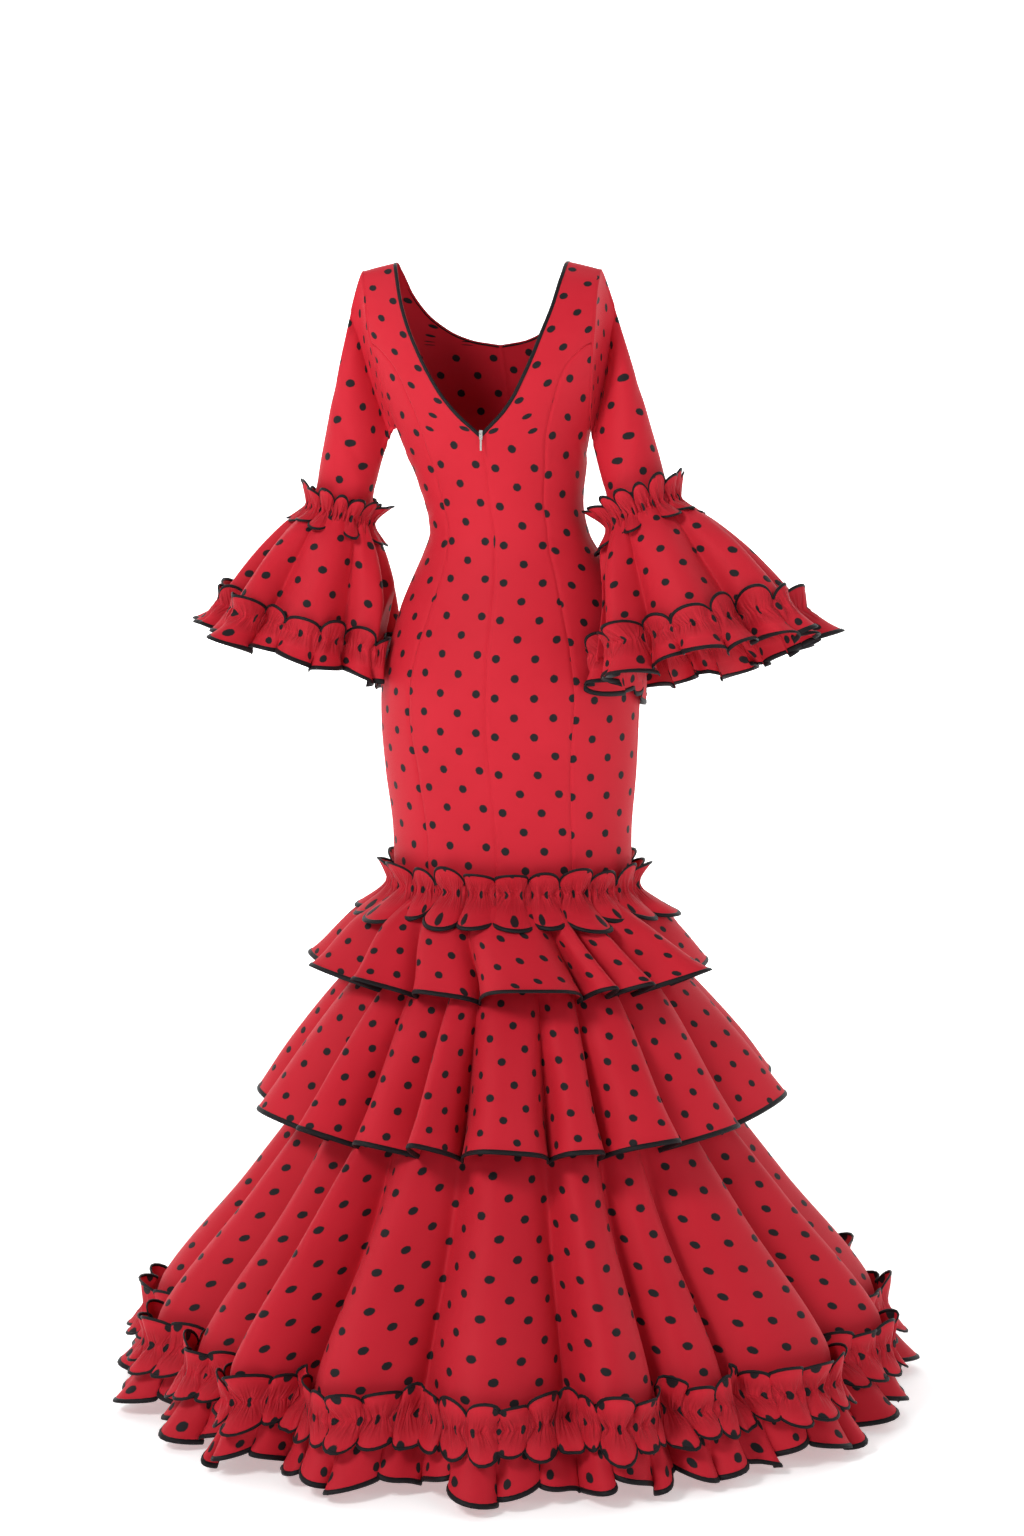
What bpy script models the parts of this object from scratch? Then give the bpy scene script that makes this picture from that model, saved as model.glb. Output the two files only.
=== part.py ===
"""Flamenco dress with a fitted princess body, elbow bells and three skirt flounces.

Metres, +Z up, worn and hanging from the shoulders: z = 0 at the top of the shoulder seams, the back faces +Y
and the wearer's left is +X. Every piece of cloth is an open surface, lofted from sections, with a Solidify wall.
Drops are measured down from the shoulders; angles are measured from the centre back towards the wearer's left.
"""
import math

import bmesh
import bpy
import numpy as np

CLOTH = 0.0012          # wall of the body cloth
FRILL_CLOTH = 0.0010    # wall of ruffles and flounces
SEAM_GAP = 0.0003       # between neighbouring pieces
BINDING = 0.0055        # height of the bias binding on a hem
BINDING_WALL = 0.0016
NECK_BINDING = 0.0040    # width of the binding along the neck

NECK_FRONT_DROP = 0.104
NECK_BACK_DROP = 0.222
UNDERARM_DROP = 0.211
YOKE_SEAM_DROP = 0.104  # where the princess seam leaves the armhole
KNEE_DROP = 0.812       # hem of the princess panels
BASE_HEM_DROP = 1.080   # hem of the plain skirt base, where tier 3 is sewn on
SHOULDER_FALL = 0.011   # how far the shoulder seam falls from the neck to the armhole
ZIP_END_DROP = 0.490

RED = (0.60, 0.018, 0.035)
BLACK = (0.012, 0.010, 0.012)
STEEL = (0.75, 0.72, 0.70)

# Sections of the body: drop, x of the centre, half width, depth behind and in front of the centre, turn in degrees
BODY = (
    ("drop", "centre", "half", "back", "front", "turn"),
    (0.0000, 0.000, 0.1900, 0.0003, 0.0003, 7),
    (0.0015, 0.000, 0.1895, 0.011, 0.011, 7),
    (0.0060, 0.000, 0.1880, 0.021, 0.021, 7),
    (0.015, -0.001, 0.1860, 0.034, 0.034, 8),
    (0.030, -0.002, 0.1820, 0.049, 0.048, 9),
    (0.060, -0.004, 0.1750, 0.070, 0.066, 10),
    (0.100, -0.007, 0.1640, 0.088, 0.086, 11),
    (0.150, -0.011, 0.1480, 0.098, 0.108, 11),
    (0.200, -0.014, 0.1310, 0.098, 0.122, 10),
    (0.242, -0.018, 0.1190, 0.093, 0.120, 10),
    (0.268, -0.023, 0.1127, 0.088, 0.110, 11),
    (0.294, -0.026, 0.1070, 0.082, 0.099, 12),
    (0.319, -0.030, 0.1035, 0.079, 0.092, 13),
    (0.345, -0.035, 0.1045, 0.078, 0.091, 14),
    (0.371, -0.038, 0.1155, 0.083, 0.094, 15),
    (0.397, -0.041, 0.1300, 0.093, 0.099, 15),
    (0.423, -0.042, 0.1425, 0.104, 0.103, 15),
    (0.449, -0.042, 0.1525, 0.114, 0.106, 15),
    (0.500, -0.040, 0.1650, 0.128, 0.110, 15),
    (0.553, -0.037, 0.1720, 0.132, 0.112, 14),
    (0.600, -0.036, 0.1710, 0.128, 0.112, 14),
    (0.659, -0.037, 0.1670, 0.118, 0.111, 13),
    (0.739, -0.039, 0.1585, 0.112, 0.109, 11),
    (0.812, -0.040, 0.1570, 0.114, 0.112, 10),
)

# Edges of the pattern pieces: how far each lies from the centre back, in degrees round the body
NECK = (("drop", "angle"), (0.0, 35.5), (0.051, 33.7), (0.115, 28.0), (0.166, 20.2), (0.191, 13.5), (0.222, 0.0))
FRONT_NECK = (("drop", "angle"), (0.0, 35.5), (0.030, 35.0), (0.060, 31.0), (0.085, 22.5), (0.098, 12.5),
              (NECK_FRONT_DROP, 0.0))
ARMHOLE = (("drop", "angle"), (0.0, 54.5), (0.050, 58.0), (0.088, 61.7), (0.126, 65.5), (0.170, 73.5),
           (0.200, 82.0), (UNDERARM_DROP, 90.0))
PRINCESS = (("drop", "angle"), (YOKE_SEAM_DROP, 63.2), (0.112, 56.0), (0.140, 46.5), (0.165, 43.8),
            (0.225, 40.3), (0.340, 39.5), (0.385, 35.8), (0.420, 35.0), (0.455, 36.0), (0.500, 38.5),
            (0.570, 39.5), (0.660, 37.0), (0.812, 37.0))

# Rings of the skirt pieces: drop, half width, half depth, swing of the folds out and in, and how far they pinch
SKIRT_BASE = (("drop", "half", "depth", "swing", "pinch"),
              (0.8123, 0.1570, 0.113, 0, 0), (0.880, 0.174, 0.146, 0, 0), (0.960, 0.204, 0.190, 0, 0),
              (BASE_HEM_DROP, 0.2560, 0.252, 0, 0))
TIER_1 = (("drop", "half", "depth", "swing", "pinch"),
          (0.8180, 0.1640, 0.126, 0.002, 0), (0.850, 0.199, 0.172, 0.009, 0.10), (0.918, 0.247, 0.235, 0.019, 0.22))
TIER_2 = (("drop", "half", "depth", "swing", "pinch"),
          (0.890, 0.1860, 0.160, 0.003, 0), (0.960, 0.239, 0.228, 0.009, 0.06), (1.100, 0.325, 0.322, 0.020, 0.16))
TIER_3 = (("drop", "half", "depth", "swing", "pinch"),
          (1.0803, 0.2600, 0.256, 0.004, 0), (1.200, 0.338, 0.338, 0.014, 0.06), (1.340, 0.452, 0.452, 0.024, 0.12),
          (1.398, 0.478, 0.478, 0.020, 0.12))
KNEE_RUFFLE = (("drop", "half", "depth", "swing", "pinch"),
               (0.783, 0.169, 0.128, 0.0055, 0.10), (0.808, 0.1650, 0.1230, 0.0012, 0),
               (0.820, 0.1840, 0.150, 0.007, 0.10), (0.838, 0.206, 0.180, 0.011, 0.25))
HEM_RUCHE = (("drop", "half", "depth", "swing", "pinch"),
             (1.356, 0.512, 0.512, 0.008, 0.12), (1.385, 0.511, 0.511, 0.002, 0), (1.412, 0.524, 0.524, 0.006, 0.12))
HEM_RUFFLE = (("drop", "half", "depth", "swing", "pinch"),
              (1.3860, 0.5035, 0.5035, 0.002, 0), (1.416, 0.509, 0.509, 0.004, 0.08),
              (1.4665, 0.517, 0.517, 0.012, 0.22))
KNEE_FOLDS, HEM_FOLDS, ELBOW_FOLDS, FRILL_FOLDS = 16, 24, 9, 13
SKIRT_CENTRE = -0.043   # x of the flounces' centre, under hips that lean to the right

# Where each fold of a flounce turns inwards, in degrees round from the centre back
TIER_1_VALLEYS = (-160, -132, -106, -68, -44, -31, -22, 12, 34, 50, 76, 104, 133, 160)
TIER_2_VALLEYS = (-166, -142, -118, -92, -64, -39, -21, -8, 13, 24, 41, 55, 82, 108, 134, 160)
TIER_3_VALLEYS = (-168, -148, -126, -102, -78, -59, -36, -23, -8, 15, 35, 48, 64, 82, 104, 124, 146, 168)
BELL_VALLEYS = {"left": (-148, -112, -82, -58, -32, 16, 44, 80, 112, 148),
                "right": (-150, -112, -70, -36, -7, 16, 40, 74, 110, 148)}

# Arms: elbow gather point, centre of the bell's hem, scale of the bell, radius of the sleeve's end, and how far
# the bell's outer side hangs lower than a cone square to its axis, as a share of its radius
ARMS = {
    "left": {"elbow": (0.188, -0.062, -0.325), "hem": (0.244, -0.066, -0.523), "scale": 0.95, "sleeve": 0.0385,
             "level": 0.0},
    "right": {"elbow": (-0.208, 0.052, -0.322), "hem": (-0.284, 0.092, -0.515), "scale": 1.05, "sleeve": 0.0405,
              "level": 0.15},
}
# How far the bell sleeve's pieces stay off the body
RUCHE_CLEARANCE, BELL_CLEARANCE, FRILL_CLEARANCE = 0.004, 0.024, 0.007
SLEEVE_END = -0.006     # the sleeve stops this far before the elbow's gather line
SLEEVE_COLUMNS, SLEEVE_ROWS = 16, 6
SLEEVE_SHIFT = 0.0026   # the sleeve starts this far outside the armhole's edge, clear of the panels' walls
# Rings along a bell's own axis, from the elbow's gather line
ELBOW_RUCHE = (("along", "radius", "swing", "pinch"),
               (-0.026, 0.058, 0.006, 0.10), (0.0, 0.0475, 0.0012, 0), (0.017, 0.066, 0.006, 0.10))
BELL = (("along", "radius", "swing", "pinch"),
        (0.004, 0.0470, 0.0015, 0), (0.040, 0.0700, 0.005, 0.05), (0.095, 0.0950, 0.008, 0.08),
        (0.162, 0.1180, 0.010, 0.10))
BELL_FRILL = (("along", "radius", "swing", "pinch"),
              (0.146, 0.1370, 0.005, 0.08), (0.163, 0.1370, 0.001, 0), (0.200, 0.148, 0.010, 0.22))


def column(table, name):
    return np.array([row[table[0].index(name)] for row in table[1:]], float)


def along_table(table, name, at):
    """One column of a table, read between its rows along straight lines."""
    return np.interp(at, column(table, table[0][0]), column(table, name))


def body(angle, drop, out=0.0):
    """Point of the body's surface, where each section is two half ellipses turned about its centre."""
    angle, drop = np.broadcast_arrays(np.asarray(angle, float), np.asarray(drop, float))
    half = along_table(BODY, "half", drop) + out
    depth = np.where(np.cos(angle) > 0, along_table(BODY, "back", drop), along_table(BODY, "front", drop)) + out
    turn = np.radians(along_table(BODY, "turn", drop))
    side, deep = half * np.sin(angle), depth * np.cos(angle)
    x = along_table(BODY, "centre", drop) + side * np.cos(turn) + deep * np.sin(turn)
    return np.stack([x, deep * np.cos(turn) - side * np.sin(turn), -drop], axis=-1)


def edge_angle(table, drop):
    return np.radians(along_table(table, "angle", drop))


def outer_edge(drop):
    """Armhole above the princess seam's start, princess seam below it."""
    return np.where(drop < YOKE_SEAM_DROP, edge_angle(ARMHOLE, drop), edge_angle(PRINCESS, drop))


def side_edge(drop):
    return np.where(drop < UNDERARM_DROP, edge_angle(ARMHOLE, drop), math.pi / 2)


def panel_grid(inner, outer, drops, columns, facing):
    """Grid of points between two edges of the body. facing places it: side 1 is the left, and front flips it."""
    side, front = facing
    drop = np.asarray(drops)[:, None]
    share = np.linspace(0, 1, columns + 1)[None, :]
    width = along_table(BODY, "half", drop)
    gap = SEAM_GAP / 2 / width
    first, last = inner(drop) + gap, outer(drop) - gap
    angle = first + (last - first) * share
    fall = SHOULDER_FALL * share * np.clip(1 - drop / 0.06, 0, 1)
    angle = math.pi - angle if front else angle
    points = body(side * angle, drop)
    points[..., 2] -= fall
    return points


def mesh_object(name, grids, closed=False):
    """Object from one or more grids of points, each a surface of rows and columns, welded where they meet."""
    mesh = bmesh.new()
    for grid in grids:
        rows, columns = grid.shape[:2]
        made = [[mesh.verts.new(point) for point in row] for row in grid]
        for i in range(rows - 1):
            for j in range(columns if closed else columns - 1):
                k = (j + 1) % columns
                mesh.faces.new((made[i][j], made[i][k], made[i + 1][k], made[i + 1][j]))
    bmesh.ops.remove_doubles(mesh, verts=mesh.verts, dist=0.00005)
    data = bpy.data.meshes.new(name)
    mesh.to_mesh(data)
    mesh.free()
    made_object = bpy.data.objects.new(name, data)
    PARTS.objects.link(made_object)
    return made_object


def finished(made, wall, material, grow=-1.0):
    """Give a surface its cloth wall. grow -1 puts the wall behind the faces, 1 in front of them."""
    solidify = made.modifiers.new("wall", "SOLIDIFY")
    solidify.thickness = wall
    solidify.offset = grow
    solidify.use_quality_normals = True
    made.data.materials.append(material)
    made.data.shade_smooth()
    return made


def outwards(made, centre):
    """Turn the faces of an open surface so that they point away from a centre line at the given x and y."""
    mesh = bmesh.new()
    mesh.from_mesh(made.data)
    bmesh.ops.recalc_face_normals(mesh, faces=mesh.faces)
    votes = 0.0
    for face in mesh.faces:
        middle = face.calc_center_median()
        votes += face.normal.x * (middle.x - centre[0]) + face.normal.y * (middle.y - centre[1])
    if votes < 0:
        bmesh.ops.reverse_faces(mesh, faces=mesh.faces)
    mesh.to_mesh(made.data)
    mesh.free()
    return made


def principled(name, colour, roughness, metallic=0.0):
    material = bpy.data.materials.new(name)
    material.use_nodes = True
    shader = material.node_tree.nodes["Principled BSDF"]
    shader.inputs["Base Color"].default_value = (*colour, 1)
    shader.inputs["Roughness"].default_value = roughness
    shader.inputs["Metallic"].default_value = metallic
    return material


LOWER_DROPS = [0.260, 0.300, 0.340, 0.380, 0.420, 0.470, 0.540, 0.640, KNEE_DROP]


def make_panels(red):
    """The seven princess panels, cut from shoulder to knee."""
    yoke = [0.0, 0.0015, 0.008, 0.020, 0.045, 0.075, YOKE_SEAM_DROP]
    chest = [YOKE_SEAM_DROP + 0.008, 0.130, 0.165, 0.195, UNDERARM_DROP, NECK_BACK_DROP]
    back_drops = yoke + chest + LOWER_DROPS
    front_drops = yoke[:-1] + [0.090, 0.098] + yoke[-1:] + chest + LOWER_DROPS
    side_drops = chest + LOWER_DROPS
    centre_line = (lambda drop: edge_angle(NECK, drop))
    front_line = (lambda drop: edge_angle(FRONT_NECK, drop) - SEAM_GAP / 2 / along_table(BODY, "half", drop))
    seam_line = (lambda drop: edge_angle(PRINCESS, drop))
    for side, hand in ((1, "left"), (-1, "right")):
        back = mesh_object(f"back_{hand}", [panel_grid(centre_line, outer_edge, back_drops, 3, (side, False))])
        finished(outwards(back, (0, 0)), CLOTH, red, 1.0)
        for face, front in (("back", False), ("front", True)):
            grid = panel_grid(seam_line, side_edge, side_drops, 3, (side, front))
            panel = mesh_object(f"side_{face}_{hand}", [grid])
            finished(outwards(panel, (-0.02, 0)), CLOTH, red, 1.0)
    halves = [panel_grid(front_line, outer_edge, front_drops, 3, (side, True)) for side in (1, -1)]
    finished(outwards(mesh_object("front", halves), (0, 0)), CLOTH, red, 1.0)


def make_neck_bindings(black):
    """Bias binding on the neckline: one length on each back edge, and one round the front."""
    def strip(drops, edge, side, front):
        """The two edges of the binding, laid off square to the neckline within the body's surface."""
        drop = np.asarray(drops)[:, None]
        half = along_table(BODY, "half", drop)
        slope = np.gradient((half * edge(drop))[:, 0], drop[:, 0])[:, None]
        reach = np.array([SEAM_GAP, SEAM_GAP + NECK_BINDING])[None, :] / np.hypot(1, slope)
        angle = edge(drop) - reach / half
        return body(side * (math.pi - angle if front else angle), drop + reach * slope)

    back_drops = [0.0, 0.0015, 0.008, 0.020, 0.045, 0.075, YOKE_SEAM_DROP,
                  YOKE_SEAM_DROP + 0.008, 0.130, 0.165, 0.195, UNDERARM_DROP]
    for side, hand in ((1, "left"), (-1, "right")):
        grid = strip(back_drops, lambda drop: edge_angle(NECK, drop), side, False)
        made = mesh_object(f"neck_binding_back_{hand}", [grid])
        finished(outwards(made, (0, 0)), BINDING_WALL, black, 1.0)
    front_drops = [0.0, 0.0015, 0.008, 0.020, 0.045, 0.075, 0.090, 0.098, YOKE_SEAM_DROP]
    front_edge = (lambda drop: edge_angle(FRONT_NECK, drop))
    halves = []
    for side in (1, -1):
        grid = strip(front_drops, front_edge, side, True)
        grid[-1] = body(math.pi, NECK_FRONT_DROP)
        grid[-1, :, 2] += (SEAM_GAP, SEAM_GAP + NECK_BINDING)
        halves.append(grid)
    made = mesh_object("neck_binding_front", halves)
    finished(outwards(made, (0, 0)), BINDING_WALL, black, 1.0)


def fold_angle(turn, valleys):
    """Angle at a count of folds: whole counts lie on the valleys, and between them it runs evenly."""
    valleys = np.radians(np.array([*valleys, valleys[0] + 360.0]))
    return np.interp(np.mod(turn, len(valleys) - 1), np.arange(len(valleys)), valleys)


def fold_width(turn, valleys):
    valleys = np.radians(np.array([*valleys, valleys[0] + 360.0]))
    return np.diff(valleys)[np.mod(np.floor(turn + 1e-9).astype(int), len(valleys) - 1)]


def folded(turn, along, table, valleys):
    """Angle and swing of a gathered piece: ridges swing out, valleys in, and the sides pinch towards the valleys."""
    swing = -np.cos(2 * np.pi * turn) * along_table(table, "swing", along)
    pinch = np.sin(2 * np.pi * turn) * along_table(table, "pinch", along) * fold_width(turn, valleys) / 2
    return fold_angle(turn, valleys) - pinch, swing


def even_valleys(count, wander):
    """Angles of a gathered strip's valleys: evenly spaced, then moved a little by two slow waves."""
    step = np.arange(count) * 360.0 / count
    return tuple(step + wander * (np.sin(np.radians(3 * step + 40)) + 0.6 * np.sin(np.radians(7 * step))))


FLOUNCE_COLUMNS = 3     # columns in each fold of a flounce or bell: its valley and the ridge's two shoulders
STRIP_COLUMNS = 2       # in each fold of a gathered strip: its valley and its ridge


def skirt_ring(angle, drop, half, depth):
    """Point of a skirt ring. Its centre and turn follow the body's at the knee and settle by the tiers."""
    settled = np.clip((drop - KNEE_DROP) / 0.12, 0, 1)
    centre = along_table(BODY, "centre", drop) * (1 - settled) + SKIRT_CENTRE * settled
    turn = np.radians(along_table(BODY, "turn", drop)) * (1 - settled)
    side, deep = half * np.sin(angle), depth * np.cos(angle)
    x = centre + side * np.cos(turn) + deep * np.sin(turn)
    return np.stack([x, deep * np.cos(turn) - side * np.sin(turn), -drop + 0 * angle], axis=-1)


def skirt_grid(table, valleys, drops, columns):
    turn = np.arange(len(valleys) * columns)[None, :] / columns
    drop = np.asarray(drops)[:, None]
    angle, swing = folded(turn, drop, table, valleys)
    half = along_table(table, "half", drop) + swing
    return skirt_ring(angle, drop, half, along_table(table, "depth", drop) + swing)


def skirt_piece(name, table, valleys, drops, columns, material, wall=FRILL_CLOTH):
    made = mesh_object(name, [skirt_grid(table, valleys, drops, columns)], closed=True)
    return finished(outwards(made, (SKIRT_CENTRE, 0)), wall, material, 0.0)


def hem_binding(name, table, valleys, top, columns, black):
    """Bias binding under a flounce's edge, on the same folds."""
    drops = (top + SEAM_GAP, top + SEAM_GAP + BINDING)
    steep = table[:-1] + (extended(table, drops[1]),)
    return skirt_piece(name, steep, valleys, drops, columns, black, BINDING_WALL)


def extended(table, last):
    """The table's last row, moved on along the slope of its last two rows."""
    above, row = np.array(table[-2], float), np.array(table[-1], float)
    return tuple(row + (row - above) * (last - row[0]) / (row[0] - above[0]))


def make_skirt(red, black):
    """The plain base under the flounces, three flounces, and the ruffles gathered on at the knee and hem."""
    angle = np.radians(np.arange(-180, 180, 20))[None, :]
    drop = column(SKIRT_BASE, "drop")[:, None]
    rings = skirt_ring(angle, drop, along_table(SKIRT_BASE, "half", drop), along_table(SKIRT_BASE, "depth", drop))
    base = mesh_object("skirt_base", [rings], closed=True)
    finished(outwards(base, (SKIRT_CENTRE, 0)), CLOTH, red)
    knee, hem = even_valleys(KNEE_FOLDS, 3.0), even_valleys(HEM_FOLDS, 2.5)
    for name, table, valleys, columns in (
            ("tier_1", TIER_1, TIER_1_VALLEYS, FLOUNCE_COLUMNS), ("tier_2", TIER_2, TIER_2_VALLEYS, FLOUNCE_COLUMNS),
            ("tier_3", TIER_3, TIER_3_VALLEYS, FLOUNCE_COLUMNS), ("knee_ruffle", KNEE_RUFFLE, knee, STRIP_COLUMNS),
            ("hem_ruche", HEM_RUCHE, hem, STRIP_COLUMNS), ("hem_ruffle", HEM_RUFFLE, hem, STRIP_COLUMNS)):
        drops = column(table, "drop")
        skirt_piece(name, table, valleys, drops, columns, red)
        if name not in ("tier_3", "hem_ruche"):
            hem_binding(f"{name}_binding", table, valleys, drops[-1], columns, black)


def unit(vector):
    return vector / np.linalg.norm(vector)


def arm_frame(arm):
    """Elbow point, axis down the bell, and two directions across it, the first outwards and the second back."""
    elbow, hem = np.array(arm["elbow"]), np.array(arm["hem"])
    axis = unit(hem - elbow)
    sideways = np.array([math.copysign(1, elbow[0]), 0, 0])
    across = unit(sideways - axis * sideways.dot(axis))
    behind = np.cross(axis, across) * math.copysign(1, elbow[0])
    return elbow, axis, across, behind


def clear_of_body(points, gap):
    """Push points sideways, away from the body's own axis, until they stand clear of its surface."""
    drop = -points[..., 2]
    centre = along_table(BODY, "centre", drop)
    turn = np.radians(along_table(BODY, "turn", drop))
    x, y = points[..., 0] - centre, points[..., 1]
    side = x * np.cos(turn) - y * np.sin(turn)
    deep = x * np.sin(turn) + y * np.cos(turn)
    depth = np.where(deep > 0, along_table(BODY, "back", drop), along_table(BODY, "front", drop)) + gap
    reach = np.hypot(side / (along_table(BODY, "half", drop) + gap), deep / depth)
    push = np.maximum(1 / np.maximum(reach, 0.2), 1)
    moved = points.copy()
    moved[..., 0] = centre + x * push
    moved[..., 1] = y * push
    return moved


def bell_grid(arm, table, valleys, alongs, columns, gap):
    """Rings of a bell or of a strip on it, in the arm's own frame and clear of the body."""
    elbow, axis, across, behind = arm_frame(arm)
    turn = np.arange(len(valleys) * columns)[None, :] / columns
    along = np.asarray(alongs)[:, None]
    angle, swing = folded(turn, along, table, valleys)
    radius = (along_table(table, "radius", along) + swing) * arm["scale"]
    out = -np.sin(angle) if elbow[0] < 0 else np.sin(angle)
    hang = along * arm["scale"] + radius * out * arm["level"] * np.clip(along / BELL_FRILL[1][0], 0, 1)
    points = (elbow + axis * hang[..., None] + across * (radius * out)[..., None]
              + behind * (radius * np.cos(angle))[..., None])
    return clear_of_body(points, gap)


def bell_piece(name, arm, table, valleys, alongs, columns, gap, material, wall=FRILL_CLOTH):
    made = mesh_object(name, [bell_grid(arm, table, valleys, alongs, columns, gap)], closed=True)
    middle = (np.array(arm["elbow"]) + np.array(arm["hem"])) / 2
    return finished(outwards(made, middle[:2]), wall, material, 0.0)


def armhole_loop(side, count):
    """Points of one armhole, from the underarm up its back to the shoulder and down its front."""
    drops = np.interp(np.linspace(0, 1, count // 2 + 1), (0, 0.12, 0.3, 1), (UNDERARM_DROP, 0.207, 0.180, 0.0))
    rising = side_edge(drops)
    fall = SHOULDER_FALL * np.clip(1 - drops / 0.06, 0, 1)
    back = body(side * rising, drops)
    front = body(side * (math.pi - rising), drops)
    back[:, 2] -= fall
    front[:, 2] -= fall
    front = front[::-1]
    return np.concatenate([back[:-1], (back[-1:] + front[:1]) / 2, front[1:-1]])


def make_sleeve(hand, arm, red):
    """Fitted sleeve: each line runs from the armhole to the elbow as an arc that leaves the shoulder sideways."""
    side = 1 if hand == "left" else -1
    elbow, axis, across, behind = arm_frame(arm)
    start = armhole_loop(side, SLEEVE_COLUMNS) + np.array([side * SLEEVE_SHIFT, 0, 0])
    count = len(start)
    angle = np.linspace(-math.pi / 2, 1.5 * math.pi, count, endpoint=False)
    end_centre = elbow + axis * SLEEVE_END
    end = end_centre + arm["sleeve"] * (across * np.sin(angle)[:, None] + behind * np.cos(angle)[:, None])
    rise = unit(np.array([side * 0.135, 0, 0]) + np.array([0, 0, -0.07]) - end_centre)
    reach = (start[:, 2] - 0.012 - end[:, 2]) / rise[2]
    control = end + rise * reach[:, None]
    share = np.linspace(0, 1, SLEEVE_ROWS)[:, None, None]
    grid = (1 - share) ** 2 * start + 2 * share * (1 - share) * control + share ** 2 * end
    made = mesh_object(f"sleeve_{hand}", [grid], closed=True)
    middle = (start.mean(axis=0) + end_centre) / 2
    finished(outwards(made, middle[:2]), CLOTH, red)


def make_arms(red, black):
    """Sleeves, elbow ruches, bells, and the frills on the bells' hems."""
    for hand, arm in ARMS.items():
        make_sleeve(hand, arm, red)
        ruche, frill = even_valleys(ELBOW_FOLDS, 4.0), even_valleys(FRILL_FOLDS, 4.0)
        alongs = column(ELBOW_RUCHE, "along")
        bell_piece(f"elbow_ruche_{hand}", arm, ELBOW_RUCHE, ruche, alongs, STRIP_COLUMNS, RUCHE_CLEARANCE, red)
        alongs = column(BELL, "along")
        bell_piece(f"bell_{hand}", arm, BELL, BELL_VALLEYS[hand], alongs, FLOUNCE_COLUMNS, BELL_CLEARANCE, red)
        alongs = column(BELL_FRILL, "along")
        bell_piece(f"bell_frill_{hand}", arm, BELL_FRILL, frill, alongs, STRIP_COLUMNS, FRILL_CLEARANCE, red)
        edge = (alongs[-1] + 4 * SEAM_GAP, alongs[-1] + 4 * SEAM_GAP + BINDING)
        steep = BELL_FRILL[:-1] + (extended(BELL_FRILL, edge[1]),)
        bell_piece(f"bell_frill_binding_{hand}", arm, steep, frill, edge, STRIP_COLUMNS, FRILL_CLEARANCE, black,
                   BINDING_WALL)


def block(name, low, high):
    """Box between two corners."""
    bpy.ops.mesh.primitive_cube_add(size=1)
    made = bpy.context.object
    made.name = name
    made.scale = [b - a for a, b in zip(low, high)]
    made.location = [(a + b) / 2 for a, b in zip(low, high)]
    bpy.ops.object.transform_apply(location=True, rotation=False, scale=True)
    return made


def joined(first, others):
    """Boolean union of the first object with the others, which become hidden cutters."""
    for other in others:
        union = first.modifiers.new(other.name, "BOOLEAN")
        union.operation = "UNION"
        union.object = other
        other.hide_render = True
        other.display_type = "WIRE"
        for collection in list(other.users_collection):
            collection.objects.unlink(other)
        CUTTERS.objects.link(other)
    return first


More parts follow.
